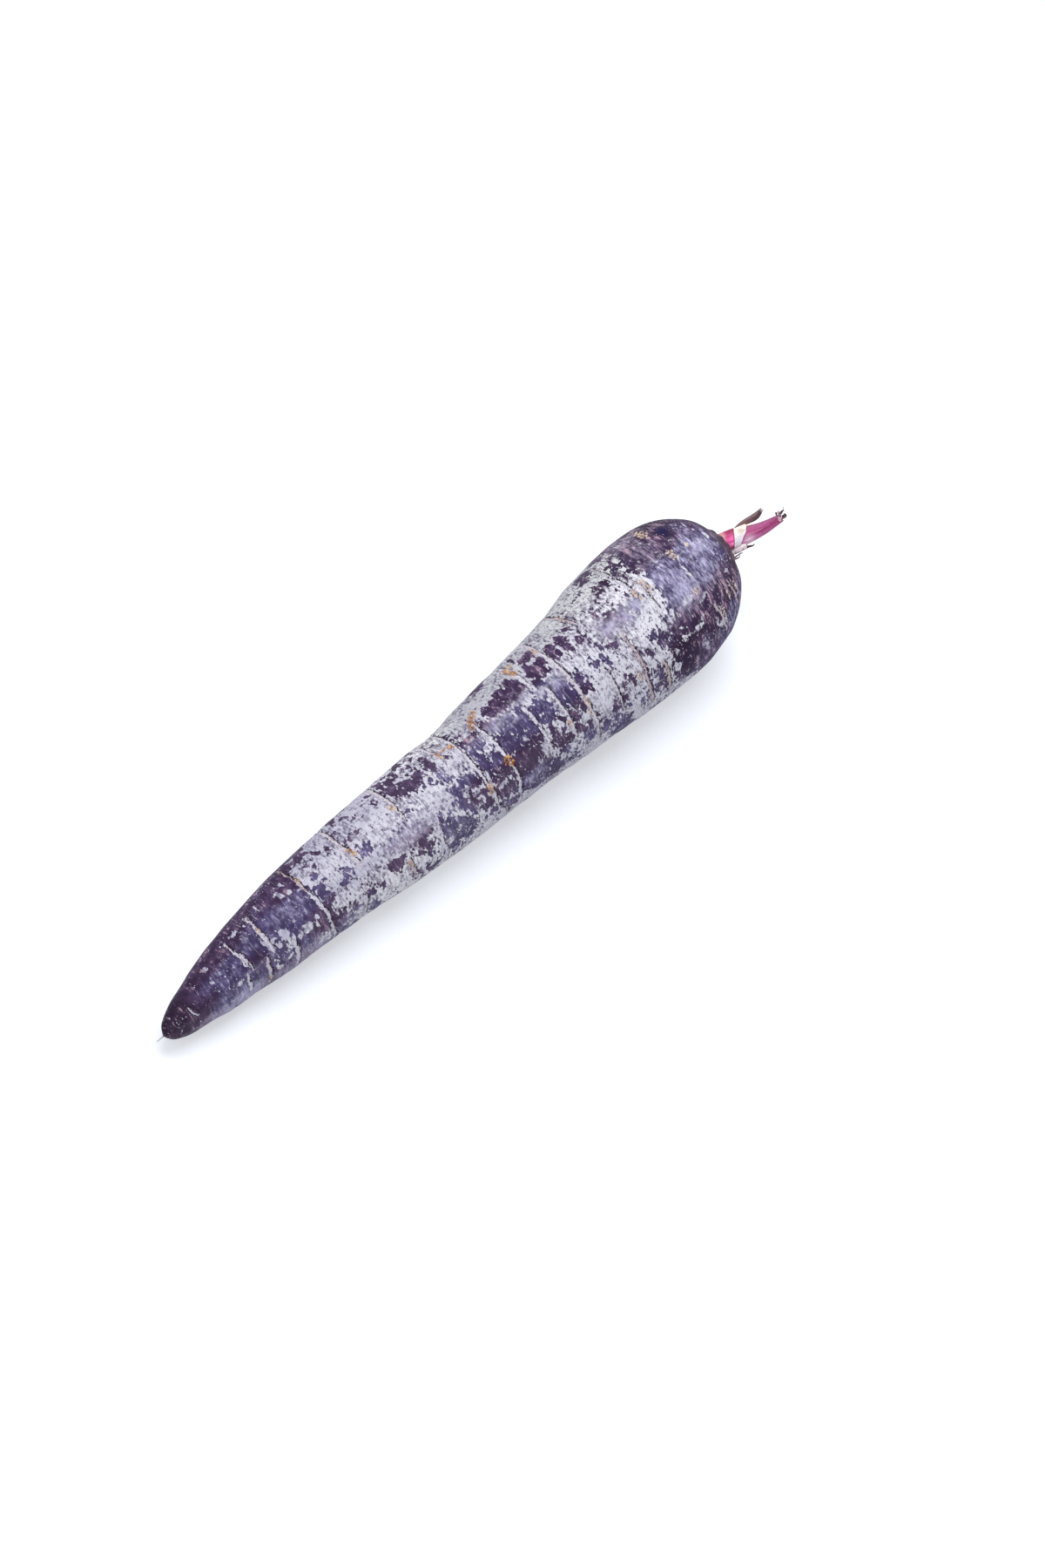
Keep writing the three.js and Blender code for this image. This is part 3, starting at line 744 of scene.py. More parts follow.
class Nodes:
    """A tree of shader nodes, built socket by socket."""

    def __init__(self, tree):
        self.tree = tree

    def plug(self, socket, value):
        if isinstance(value, bpy.types.NodeSocket):
            self.tree.links.new(value, socket)
        else:
            socket.default_value = value

    def node(self, kind, inputs, output=0, **settings):
        """An output of a new node, with its settings made and its inputs plugged."""
        node = self.tree.nodes.new("ShaderNode" + kind)
        for key, value in settings.items():
            setattr(node, key, value)
        for key, value in inputs.items():
            self.plug(node.inputs[key], value)
        return node.outputs[output]

    def math(self, operation, first, second=0.0):
        return self.node("Math", {0: first, 1: second}, operation=operation)

    def largest(self, *values):
        return reduce(lambda most, value: self.math("MAXIMUM", most, value), values)

    def seeing_ray(self):
        """1 for rays that see the white surroundings instead of their light."""
        kinds = ("Is Camera Ray", "Is Glossy Ray", "Is Transmission Ray")
        return self.largest(*(self.node("LightPath", {}, kind) for kind in kinds))


class Shader(Nodes):
    """A procedural material. Sizes in its textures are millimetres."""

    def __init__(self, name):
        self.material = bpy.data.materials.new(name)
        self.material.use_nodes = True
        super().__init__(self.material.node_tree)
        self.surface = self.tree.nodes["Principled BSDF"]
        self.place = self.node("TexCoord", {}, "Object")

    def attribute(self, key, output="Fac"):
        return self.node("Attribute", {}, output, attribute_name=key)

    def texture(self, kind, output, size, stretch, seed=0.0, **inputs):
        """A texture with features about size across, longer along an axis whose stretch is more."""
        scale = [1 / (MM * size * share) for share in stretch]
        location = (seed, seed * 0.7, -seed)
        place = self.node("Mapping", {"Vector": self.place, "Location": location, "Scale": scale})
        return self.node(kind, {"Vector": place, "Scale": 1.0, **inputs}, output)

    def noise(self, size, detail, roughness, stretch, seed):
        return self.texture("TexNoise", "Fac", size, stretch, seed, Detail=detail, Roughness=roughness)

    def cells(self, size, stretch):
        """Distance to the nearest of scattered points: round lobes."""
        return self.texture("TexVoronoi", "Distance", size, stretch)

    def add(self, *terms):
        return reduce(lambda total, term: self.math("ADD", total, term), terms)

    def times(self, first, second):
        return self.math("MULTIPLY", first, second)

    def spread(self, noise, gain):
        """A noise about 0 instead of about a half, times gain."""
        return self.times(self.math("SUBTRACT", noise, 0.5), gain)

    def step(self, value, low, high, to_low=0.0, to_high=1.0):
        """A smooth step of value, from to_low at low to to_high at high; low may be the larger one."""
        ends = {"From Min": low, "From Max": high, "To Min": to_low, "To Max": to_high}
        return self.node("MapRange", {"Value": value, **ends}, "Result", interpolation_type="SMOOTHSTEP")

    def blend(self, share, first, second, kind="MIX"):
        """From first to second by share. Each is a socket, or red, green and blue of 0 to 255."""
        first, second = (tone(*colour) if isinstance(colour, tuple) else colour for colour in (first, second))
        inputs = {"Factor": share, "A": first, "B": second}
        return self.node("Mix", inputs, "Result", data_type="RGBA", blend_type=kind)

    def layer(self, below, above, field, low, high, strength=1.0):
        """The second colour over the first: not at all where the field is at low, by strength at high."""
        return self.blend(self.step(field, low, high, 0.0, strength), below, above)

    def finish(self, colour, roughness, specular, height):
        """Wires up the surface, with bump from a height in millimetres, and returns the material."""
        bump = self.node("Bump", {"Distance": MM, "Height": height}, "Normal")
        ends = {"Base Color": colour, "Roughness": roughness, "Specular IOR Level": specular, "Normal": bump}
        for key, value in ends.items():
            self.plug(self.surface.inputs[key], value)
        return self.material


# The bare skin's tones. A pair is for maroon and for violet skin, the violet partly painted sheen, but
# for the crown dark and fair.
SKIN_DARK = ((57, 41, 66), (64, 54, 86))
SKIN_FAIR = ((79, 61, 90), (88, 78, 114))
TIP_DARK = (46, 33, 50)
TIP_FAIR = (64, 48, 68)
# The deep tone is partly painted shade.
DEEP_SKIN_AND_SHADE = (42, 28, 46)
# The veil's tones: frost on the skin, also used as painted sheen and painted light.
VEIL_AND_SHEEN = ((168, 154, 176), (180, 174, 202))
DASHES = ((184, 150, 164), (186, 180, 206))
GAPS = (50, 36, 60)
SPECKS = (206, 198, 210)
THREAD = (176, 168, 174)
CROWN_BROWNS = ((48, 34, 44), (88, 68, 76))
INK = (32, 28, 66)
# The film's tones. The pairs are for its darker zones, then for its brighter ones, which take in the
# painted highlight along the top.
FILM_DULL = ((128, 122, 142), (176, 170, 180))
FILM_LIGHT = ((174, 169, 185), (226, 222, 225))
FILM_FLAKE = ((192, 188, 200), (238, 236, 238))
FILM_SCRATCH = (104, 96, 116)
FILM_PIT = (80, 70, 94)
FILM_WARM = (250, 252, 243)
# The tones of the creases' rings and rims, and of the scars.
RING_PALES = ((204, 197, 205), (204, 202, 216))
RING_TAN = (186, 160, 158)
RING_PIT = (120, 104, 120)
RIM = (46, 33, 44)
SCAR_CREAMS = ((134, 112, 114), (210, 194, 182))
SCAR_RUSTS = ((74, 46, 34), (160, 98, 46))
SCAR_TAN = (206, 160, 112)

# The stretch of what is longer round the root than along it.
ROUND_IT = (0.75, 1.2, 1.2)
# The root's noises: size, detail, roughness, stretch, seed.
ROOT_NOISES = {
    "ragged": (2.4, 6, 0.64, ROUND_IT, 0.0),
    "lace": (1.1, 3, 0.6, ROUND_IT, 3.0),
    "grain": (0.75, 2, 0.6, ROUND_IT, 7.0),
    "mottle": (3.0, 4, 0.62, ROUND_IT, 29.0),
    "cloud": (8.0, 3, 0.5, (1, 1, 1), 11.0),
    "streak": (1.5, 4, 0.66, (0.36, 2.2, 2.2), 17.0),
    "scratch": (1.0, 2, 0.6, (0.5, 3.4, 3.4), 23.0),
}
LOBE_SIZE = 1.2


def root_material():
    """Aubergine skin under a ragged silver-grey film, with pale creases and rootlet scars."""
    shader = Shader("root_skin")
    noises = {name: shader.noise(*values) for name, values in ROOT_NOISES.items()}
    level = film_level(shader, **noises)
    skin = root_skin_tone(shader, **noises)
    film = root_film_tone(shader, level, **noises)
    mask = shader.step(level, 0.48, 0.52)
    crisp = shader.blend(mask, skin, film)
    sheer = shader.layer(skin, film, level, 0.0, 1.5)
    # Hazes show the skin through thin film; on the top and the low side they are partly painted sheen.
    colour = shader.layer(crisp, sheer, shader.attribute("haze_and_sheen"), 0.1, 0.6)
    colour, band = add_creases(shader, colour, **noises)
    colour, scar_mask = add_scars(shader, colour, **noises)
    cover = shader.largest(mask, band, scar_mask)
    roughness = shader.step(cover, 0.0, 1.0, 0.50, 0.66)
    grain = shader.times(noises["grain"], 0.16)
    streaks = shader.times(noises["streak"], 0.20)
    height = shader.add(shader.times(cover, 0.09), grain, streaks)
    return shader.finish(colour, roughness, specular=0.03, height=height)


def film_level(shader, ragged, lace, grain, cloud, **_):
    """The film's cover with its ragged, lobed edge and its pits: skin under a half, film over it."""
    level = shader.add(
        shader.attribute("film"), shader.spread(ragged, 1.8), shader.spread(lace, 1.3),
        shader.spread(grain, 0.7), shader.times(shader.cells(LOBE_SIZE, ROUND_IT), 0.5),
    )
    pits = shader.add(lace, shader.times(cloud, 0.6))
    return shader.math("SUBTRACT", level, shader.step(pits, 0.66, 0.60, 0.26, 0.90))


def root_skin_tone(shader, lace, grain, mottle, cloud, streak, scratch, **_):
    """The bare skin: maroon to violet, with a frosty veil, specks and, round the shoulder, streaks. The
    violet, the veil and the lift carry painted sheen and light, the deep spots painted shade.
    """
    tip = shader.attribute("tip")
    shoulder = shader.attribute("shoulder")
    # The violet cast is partly painted sheen.
    hue_and_sheen = shader.step(shader.add(shader.attribute("violet_and_sheen"), shader.spread(cloud, 1.6)), 0.1, 0.9)
    dark = shader.blend(tip, shader.blend(hue_and_sheen, *SKIN_DARK), TIP_DARK)
    fair = shader.blend(tip, shader.blend(hue_and_sheen, *SKIN_FAIR), TIP_FAIR)
    skin = shader.layer(dark, fair, mottle, 0.42, 0.60)
    # Deep spots darken the skin, partly as painted shade.
    deep_and_shade = shader.add(shader.attribute("deep_and_shade"), shader.spread(lace, 0.5), shader.spread(mottle, 0.7))
    skin = shader.layer(skin, DEEP_SKIN_AND_SHADE, deep_and_shade, 0.0, 0.9, 0.85)

    # The veil: frost over the skin, partly painted sheen; the lift mixes it in as painted light low down.
    veil_and_sheen_tone = shader.blend(hue_and_sheen, *VEIL_AND_SHEEN)
    skin = shader.blend(shader.attribute("lift_and_underside_light"), skin, veil_and_sheen_tone)
    veil_and_sheen = shader.add(
        shader.attribute("haze_and_sheen"), shader.spread(lace, 0.8), shader.spread(streak, 0.7),
        shader.times(shader.spread(streak, 0.9), shoulder), shader.spread(mottle, 0.8),
    )
    skin = shader.layer(skin, veil_and_sheen_tone, veil_and_sheen, 0.12, 1.10)

    dashes = shader.add(streak, shader.times(shoulder, 0.04), shader.spread(mottle, 0.8))
    skin = shader.layer(skin, shader.blend(hue_and_sheen, *DASHES), dashes, 0.60, 0.76, 0.75)
    gaps = shader.times(shader.step(streak, 0.44, 0.34, 0.0, 0.6), shoulder)
    skin = shader.blend(gaps, skin, GAPS)
    specks = shader.add(grain, shader.spread(cloud, 0.4), shader.times(shader.spread(scratch, 0.4), shoulder))
    skin = shader.layer(skin, SPECKS, specks, 0.655, 0.74, 0.8)

    skin = shader.blend(shader.attribute("tail"), skin, THREAD)
    skin = shader.blend(shader.attribute("crown"), skin, shader.layer(*CROWN_BROWNS, mottle, 0.40, 0.62))
    ink = shader.add(shader.attribute("ink"), shader.spread(lace, 1.6))
    return shader.layer(skin, INK, ink, 0.40, 0.75, 0.9)


def root_film_tone(shader, level, lace, grain, cloud, scratch, **_):
    """The film: silver-grey, cloudy, with dark pits, pale flakes and fine lines, and paler along the top
    where a highlight is painted.
    """
    # The paler zones include the painted highlight along the top.
    tone_and_highlight = shader.attribute("tone_and_highlight")
    dull, light, flake = (shader.blend(tone_and_highlight, *tones) for tones in (FILM_DULL, FILM_LIGHT, FILM_FLAKE))
    share = shader.add(cloud, shader.spread(lace, 1.6), shader.spread(scratch, 0.5))
    film = shader.layer(dull, light, share, 0.32, 0.54)
    film = shader.layer(film, flake, lace, 0.55, 0.64, 0.8)
    film = shader.layer(film, FILM_SCRATCH, scratch, 0.42, 0.34, 0.5)
    film = shader.layer(film, FILM_PIT, grain, 0.39, 0.31, 0.85)
    film = shader.layer(film, flake, level, 0.60, 0.53, 0.35)
    return shader.blend(shader.attribute("warm"), film, FILM_WARM, "MULTIPLY")


def add_creases(shader, colour, cloud, lace, grain, **_):
    """Pale, ragged rings with thin broken dark edges, over the colour so far; and the rings' mask."""
    gap = shader.attribute("gap")
    ragged_gap = shader.math("ABSOLUTE", shader.add(gap, shader.spread(lace, 1.5), shader.spread(grain, 1.6)))
    past_edge = shader.math("SUBTRACT", ragged_gap, shader.attribute("half"))
    strength = shader.add(shader.attribute("crease"), shader.spread(lace, 2.6))
    band = shader.times(shader.step(past_edge, 0.12, -0.08), shader.step(strength, 0.15, 0.50, 0.0, 0.94))
    ring_tone = shader.blend(shader.attribute("tan"), shader.blend(cloud, *RING_PALES), RING_TAN)
    colour = shader.blend(band, colour, shader.layer(ring_tone, RING_PIT, grain, 0.45, 0.36, 0.7))
    rim = shader.step(shader.math("ABSOLUTE", shader.math("SUBTRACT", past_edge, 0.20)), 0.34, 0.10)
    dashes = shader.step(shader.add(shader.attribute("dark"), shader.spread(grain, 2.4)), 0.20, 0.60)
    crown_side = shader.step(gap, -0.2, 0.2, 0.30, 1.0)
    rim = shader.times(shader.times(rim, dashes), crown_side)
    return shader.blend(rim, colour, RIM), band


def add_scars(shader, colour, lace, grain, **_):
    """Tufts of cream, tan and rust where rootlets broke off, over the colour so far; and their mask."""
    tufts = shader.add(shader.spread(lace, 4.0), shader.times(grain, 2.0))
    mask = shader.step(shader.times(shader.attribute("scar"), tufts), 0.50, 0.72, 0.0, 0.92)
    cream = shader.layer(*SCAR_CREAMS, grain, 0.42, 0.56)
    rust = shader.layer(*SCAR_RUSTS, grain, 0.45, 0.55)
    rust = shader.layer(rust, SCAR_TAN, lace, 0.52, 0.62)
    return shader.blend(mask, colour, shader.blend(shader.attribute("orange"), cream, rust)), mask


def build_root():
    """The root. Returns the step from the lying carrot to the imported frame."""
    along, angle, radius = root_grid()
    smooth = root_surface(along, angle, radius)
    crease_relief, crease_values = crease_marks(along, angle)
    scar_relief, scar, orange = scar_marks(along, angle)
    relief = crease_relief + scar_relief + relief_swells(along, angle) + crown_relief(along, angle, radius)
    relief *= smooth_step(radius, *RELIEF_START)
    shaped = smooth + outward(smooth) * relief[..., None]
    shaped[..., 1] += sum(zones(along, angle, SIDEWAYS_LEAN))
    shift = frame_shift(lay_down(smooth))
    grid = lay_down(shaped) + shift
    # Where it presses on the ground, it is level.
    grid[..., 2] = np.maximum(grid[..., 2], 0)
    marks = {**skin_marks(along, angle), **crease_values, "scar": scar, "orange": orange}
    root = write_mesh("root", [(grid, marks)])
    root.data.materials.append(root_material())
    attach(root, "root")
    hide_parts("taproot")
    return shift


# ---------------------------------------------------------------- leaf-stalk stubs

# Turns round a stub are in degrees in the tables: 0 faces this way, 90 is the side toward -y.
STUB_FACING = np.array([0, -0.38, 0.92])
STUB_SIDES = 96
FIBRE_SIDES = 12
# Ribs are a sum of waves round a stub: how many, the fewest crests of one, its largest turn over the
# whole path in radians, and about how high they add up.
RIB_WAVES = 10
FEWEST_RIBS = 3
RIB_TWIST = 4
RIB_PEAK = 3

# A path's points, and the full width and depth of the oval at evenly spaced shares of it.
MAIN_PATH = [(217, 1.8, 0.8), (224, 0.3, 0.3), (229, -1.5, 0.1), (234.4, -3.6, 0.2), (240.9, -5.7, 1.6)]
MAIN_SECTIONS = [(5.6, 3.6), (5.6, 3.5), (5.5, 3.3), (4.0, 2.7), (2.5, 2.0)]
OUTER_PATH = [(216.5, 2.2, 1.7), (222, 0.7, 1.7), (230.3, -2.1, 1.2)]
OUTER_SECTIONS = [(6.0, 4.4), (6.0, 4.2), (5.8, 3.8)]
OUTER_LENGTH = 14.6
DRY_PATH = [
    (218.5, 3.7, -2.4), (224, 3.0, -1.9), (228.3, 2.3, -1.0),
    (231.7, 2.0, -0.2), (235.9, 0.8, 0.3), (239.1, 0.9, 1.0),
]
DRY_SECTIONS = [(1.4, 1.2), (1.5, 1.3), (1.5, 1.3), (1.6, 1.3), (2.1, 1.3), (1.0, 0.8)]
LOWER_PATH = [(216.5, 0.3, -1.3), (221.5, -1.6, -1.2), (225.4, -3.1, -0.8), (227.6, -4.3, -0.8)]
LOWER_SECTIONS = [(2.8, 2.8), (2.6, 2.6), (2.7, 2.4), (1.6, 1.3)]

# The stalks' noises: size, detail, roughness, stretch, seed. Then the tones that they bring.
FIBRE_NOISE = (0.45, 3, 0.6, (6, 1, 1), 2.0)
BLOTCH_NOISE = (0.9, 2, 0.6, (1.6, 1, 1), 5.0)
FIBRE_SHADE = (158, 122, 138)
BLOTCH_TONE = (236, 206, 218)

# A ground tint, then its streaks: seed, darker tone, lighter tone, strength.
MAIN_GROUND = ((166, 74, 124), (9, (128, 52, 92), (192, 112, 154), 0.38))
OUTER_GROUND = ((210, 66, 132), (15, (154, 40, 90), (246, 142, 194), 0.42))
FLESH_GROUND = ((242, 233, 224), (16, (230, 216, 206), (250, 245, 241), 0.22))
DRY_GROUND = ((112, 86, 88), (19, (72, 52, 58), (146, 116, 114), 0.60))
LOWER_GROUND = ((236, 221, 225), (21, (206, 176, 184), (250, 242, 242), 0.45))

# Patches of tint: its tone, then share of the path, turn, half sizes, strength.
MAIN_TINTS = [
    ((150, 90, 128), 0.76, -64, 0.5, 30, 0.9), ((176, 64, 122), 0.76, -8, 0.4, 26, 0.5),
    ((186, 98, 146), 0.66, 46, 0.12, 18, 0.6), ((136, 40, 88), 0.71, 20, 0.06, 9, 0.85),
    ((134, 38, 86), 0.79, 13, 0.07, 9, 0.85), ((136, 42, 88), 0.88, 6, 0.07, 12, 0.8),
    ((208, 134, 176), 0.76, 84, 0.3, 20, 0.9), ((228, 186, 208), 0.52, 52, 0.08, 34, 0.95),
    ((150, 62, 62), 0.585, -58, 0.1, 8, 0.9), ((214, 150, 120), 0.57, -74, 0.09, 7, 0.9),
    ((104, 38, 66), 0.925, -12, 0.012, 12, 0.8), ((110, 40, 70), 0.935, 24, 0.014, 9, 0.8),
    ((112, 44, 76), 0.9, -40, 0.018, 9, 0.7), ((232, 180, 196), 0.95, 8, 0.01, 12, 0.8),
]
# Among the outer skin's tints, the dark patch underneath (turn 76) and the thin dark fold lines (turns 19 and
# -14) are painted shade, and the small pale pink spot (turn 36) is a painted highlight.
OUTER_TINTS_AND_SHADING = [
    ((132, 44, 70), 0.68, -62, 0.12, 34, 0.95), ((214, 166, 156), 0.515, -42, 0.048, 40, 0.85),
    ((246, 108, 176), 0.655, 6, 0.075, 16, 0.95), ((248, 120, 182), 0.65, 36, 0.08, 12, 0.95),
    ((250, 156, 204), 0.64, 36, 0.025, 5, 0.9), ((168, 40, 96), 0.64, 19, 0.07, 3, 0.85),
    ((176, 44, 100), 0.6, -14, 0.05, 5, 0.8), ((92, 34, 58), 0.66, 76, 0.2, 22, 0.95),
]
# Among the flesh's tints, the beige-grey spot (turn -28) is painted shade in a shallow hollow, and the whiter
# patch (turn -72) and the bluish-white one (turn 48) are painted light.
FLESH_TINTS_AND_SHADING = [
    ((196, 184, 158), 0.86, -28, 0.06, 16, 0.95), ((248, 234, 214), 0.84, -72, 0.14, 18, 0.8),
    ((224, 221, 234), 0.84, 48, 0.16, 40, 0.85), ((250, 226, 204), 0.965, -20, 0.02, 60, 0.8),
]
LOWER_TINTS = [
    ((236, 206, 216), 0.6, 62, 0.16, 24, 0.6), ((150, 126, 120), 0.74, 46, 0.045, 16, 0.9),
    ((140, 112, 104), 0.5, 60, 0.02, 40, 0.8), ((120, 88, 80), 0.56, 78, 0.015, 22, 0.8),
    ((206, 180, 180), 0.82, 20, 0.05, 30, 0.6), ((96, 70, 64), 0.97, 40, 0.06, 90, 0.85),
]
DRY_TINTS = [
    ((136, 108, 108), 0.62, -40, 0.22, 30, 0.6), ((104, 74, 80), 0.72, 10, 0.14, 26, 0.6),
    ((60, 42, 48), 0.86, 40, 0.12, 40, 0.85), ((56, 40, 46), 0.92, -10, 0.04, 60, 0.8),
    ((172, 112, 80), 0.56, 50, 0.1, 34, 0.8), ((216, 210, 200), 0.99, 30, 0.045, 60, 0.95),
]

DARK_BROWN = (74, 52, 56)
REDDISH = (84, 62, 62)
UMBER = (84, 62, 60)
# Loose fibres and torn bits: points of the middle line, first and last thickness, tone.
FIBRES = [
    ([(226.9, -4.2, -0.9), (227.7, -5.1, -0.3), (228.3, -5.5, -0.2), (229, -5.6, 0)], 0.85, 0.3, REDDISH),
    ([(222.2, -3.9, -1.7), (223.5, -4.3, -1.2), (224.3, -4.5, -1), (224.8, -4.9, -1)], 0.45, 0.25, UMBER),
    ([(222, -4.2, -2), (223.1, -4.7, -1.9), (224, -4.6, -1.5)], 0.55, 0.20, (96, 74, 70)),
    ([(240, -3.9, 1.9), (240.5, -3.7, 2.2), (240.3, -3.5, 2.2)], 0.45, 0.12, DARK_BROWN),
    ([(239.9, -4.2, 1.8), (240.2, -3.4, 2.1), (240.5, -3.3, 2)], 0.50, 0.15, DARK_BROWN),
    ([(240.7, -4.4, 1.8), (241.1, -3.8, 2), (241.4, -3.4, 2.1)], 0.60, 0.18, (110, 62, 76)),
    ([(240.8, -4.6, 1.8), (241.7, -4.3, 2.2), (242.4, -4.4, 2.4), (243.1, -3.8, 2.9)], 0.55, 0.1, DARK_BROWN),
    ([(241.3, -4.6, 1.7), (242.2, -4.4, 1.9), (242.7, -4.6, 1.8)], 0.60, 0.20, (96, 60, 68)),
    ([(241.4, -5.3, 1.2), (242.1, -5.4, 1.2), (242.3, -4.9, 1.3)], 0.70, 0.25, (58, 44, 48)),
    ([(240.7, -5.9, 1.2), (241.6, -5.9, 1.6), (242, -6.1, 1.6), (242, -5.2, 1.9)], 0.70, 0.25, (56, 44, 46)),
    ([(241.1, -5.2, 0.9), (242, -5.6, 0.9), (242, -6.1, 0.5)], 0.80, 0.30, (64, 48, 52)),
    ([(240.4, -5.9, 1.6), (240.9, -6.2, 1.5), (241.3, -6.4, 1.3)], 0.55, 0.20, (104, 66, 72)),
]
# A fibre's streaks, as for a ground tint.
FIBRE_STREAKS = (4, (48, 34, 38), (140, 108, 104), 0.4)
# Small dried leaf bases, in a ring about the crown's middle. Their depth is a share of their width.
SCALE_SEED = 41
SCALE_COUNT = 17
SCALE_STRAY = 0.25
SCALE_FLATNESS = 0.28
SCALE_HEIGHTS = (0.5, 1.3)
SCALE_LEANS = (0.2, 0.9)
SCALE_WIDTHS = (1.4, 2.4)
SCALE_TIP_WIDTH = 0.35
SCALE_FAIR = np.array((100, 74, 78))
SCALE_DARK = np.array((70, 52, 56))
CROWN_MIDDLE = np.array([219.0, 0.8, 0.3])
CROWN_REACH = 4.3


def turns_round(sides):
    """Evenly spaced turns round a stub, in radians."""
    return np.arange(sides) * 2 * math.pi / sides


def stub_point(path, sections, share, turn, swell, facing):
    """Points of an oval stub at shares along its path and turns round it."""
    centre = spline(path, share, True)
    ahead = spline(path, np.clip(share + 0.01, 0, 1), True) - spline(path, np.clip(share - 0.01, 0, 1), True)
    across = unit(np.cross(ahead, facing))
    out = np.cross(across, unit(ahead))
    size = spline(sections, share, False) / 2
    off_across = (size[..., 0] * np.sin(turn) * swell)[..., None]
    off_out = (size[..., 1] * np.cos(turn) * swell)[..., None]
    return centre + across * off_across + out * off_out


def stub_rings(path, sections, stops, relief, cap_rings=10, sink=0.3, facing=STUB_FACING):
    """Rings of a stub through its stops, then cap rings closing in on its end's middle, which sinks in.

    A stop is a share of the path for every turn, a swell and the number of rings leading to it.
    Returns the grid, each point's share and how far in on the cap it lies.
    """
    sides = len(stops[0][0])
    shares, swells = [stops[0][0][None]], [np.zeros((1, sides))]
    for (share, swell, _), (next_share, next_swell, rings) in zip(stops, stops[1:]):
        step = np.linspace(0, 1, rings, endpoint=False)[:, None]
        shares.append(share + (next_share - share) * step)
        swells.append((swell + (next_swell - swell) * step) * np.ones(sides))
    shares.append(stops[-1][0][None])
    swells.append(stops[-1][1] * np.ones((1, sides)))
    share = np.concatenate(shares)
    turn = turns_round(sides)
    side = stub_point(path, sections, share, turn, np.concatenate(swells) * (1 + relief(share, turn)), facing)
    edge = side[-1]
    middle = edge.mean(axis=0)
    inward = unit(middle - spline(path, np.array([max(share[-1].mean() - 0.2, 0)]), True)[0])
    scale = np.linspace(1, 0, cap_rings + 1)[1:, None, None]
    cap = middle + (edge - middle) * scale - inward * sink * smooth_step(1 - scale, 0.05, 0.5)
    end_share = np.repeat(share[-1:], cap_rings, axis=0)
    is_cap = np.concatenate([np.zeros_like(share), (1 - scale[..., 0]) * np.ones(sides)])
    return np.concatenate([side, cap]), np.concatenate([share, end_share]), is_cap


def outer_cut(turn, full, back, across, out):
    """The outer stalk's share at a slanting cut, for every turn, in millimetres back from full."""
    return full - (back + across * np.sin(turn) + out * np.cos(turn)) / OUTER_LENGTH


def ribs(seed, height, finest):
    """Lengthwise ribs and streaks round a stalk, from about -height to height."""
    def rib(share, turn):
        rng = np.random.default_rng(seed)
        total = np.zeros_like(share)
        for _ in range(RIB_WAVES):
            count = rng.integers(FEWEST_RIBS, finest)
            twist = rng.uniform(-RIB_TWIST, RIB_TWIST)
            total += np.cos(count * turn + twist * share + rng.uniform(0, 2 * math.pi))
        return height * total / RIB_PEAK
    return rib


def painted(tint, colour, share):
    """A tint moved toward a colour, by a share for every point."""
    share = np.clip(share, 0, 1)[..., None]
    return tint * (1 - share) + np.array(tone(*colour)[:3]) * share


def streaked_tint(colour, streaks, share, turn):
    """A plain colour with fine lengthwise streaks toward a darker and a lighter tone."""
    seed, dark, light, strength = streaks
    streak = ribs(seed, 1.0, 34)(share, turn)
    tint = painted(np.zeros(share.shape + (3,)), colour, np.ones_like(share))
    tint = painted(tint, dark, strength * smooth_step(streak, 0.1, 1.1))
    return painted(tint, light, strength * smooth_step(-streak, 0.3, 1.2))


def stub_tint(ground, patches, share, turn):
    """A streaked ground tint with patches of other tones."""
    tint = streaked_tint(*ground, share, turn)
    for colour, *place, strength in patches:
        tint = painted(tint, colour, strength * spot(share, np.degrees(turn), place, 0.28))
    return tint


def stalk_material(name, roughness, blotches):
    """Stalk tissue: its tint comes with the mesh, with fibres and blotches on top."""
    shader = Shader(name)
    fibre = shader.noise(*FIBRE_NOISE)
    blotch = shader.noise(*BLOTCH_NOISE)
    tint = shader.attribute("tint", "Color")
    colour = shader.blend(shader.step(fibre, 0.40, 0.62, 0.0, 0.22), tint, FIBRE_SHADE, "MULTIPLY")
    colour = shader.layer(colour, BLOTCH_TONE, blotch, 0.50, 0.72, blotches)
    rough = shader.step(blotch, 0.3, 0.7, roughness - 0.05, roughness + 0.08)
    return shader.finish(colour, rough, specular=0.25, height=shader.times(fibre, 0.12))


def place_piece(name, shells, shift, material):
    """A piece of stub shells in the carrot's frame, laid down with the root."""
    piece = write_mesh(name, [(lay_down(grid) + shift, {"tint": tint}) for grid, tint in shells])
    piece.data.materials.append(material)
    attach(piece, "root")
    return piece


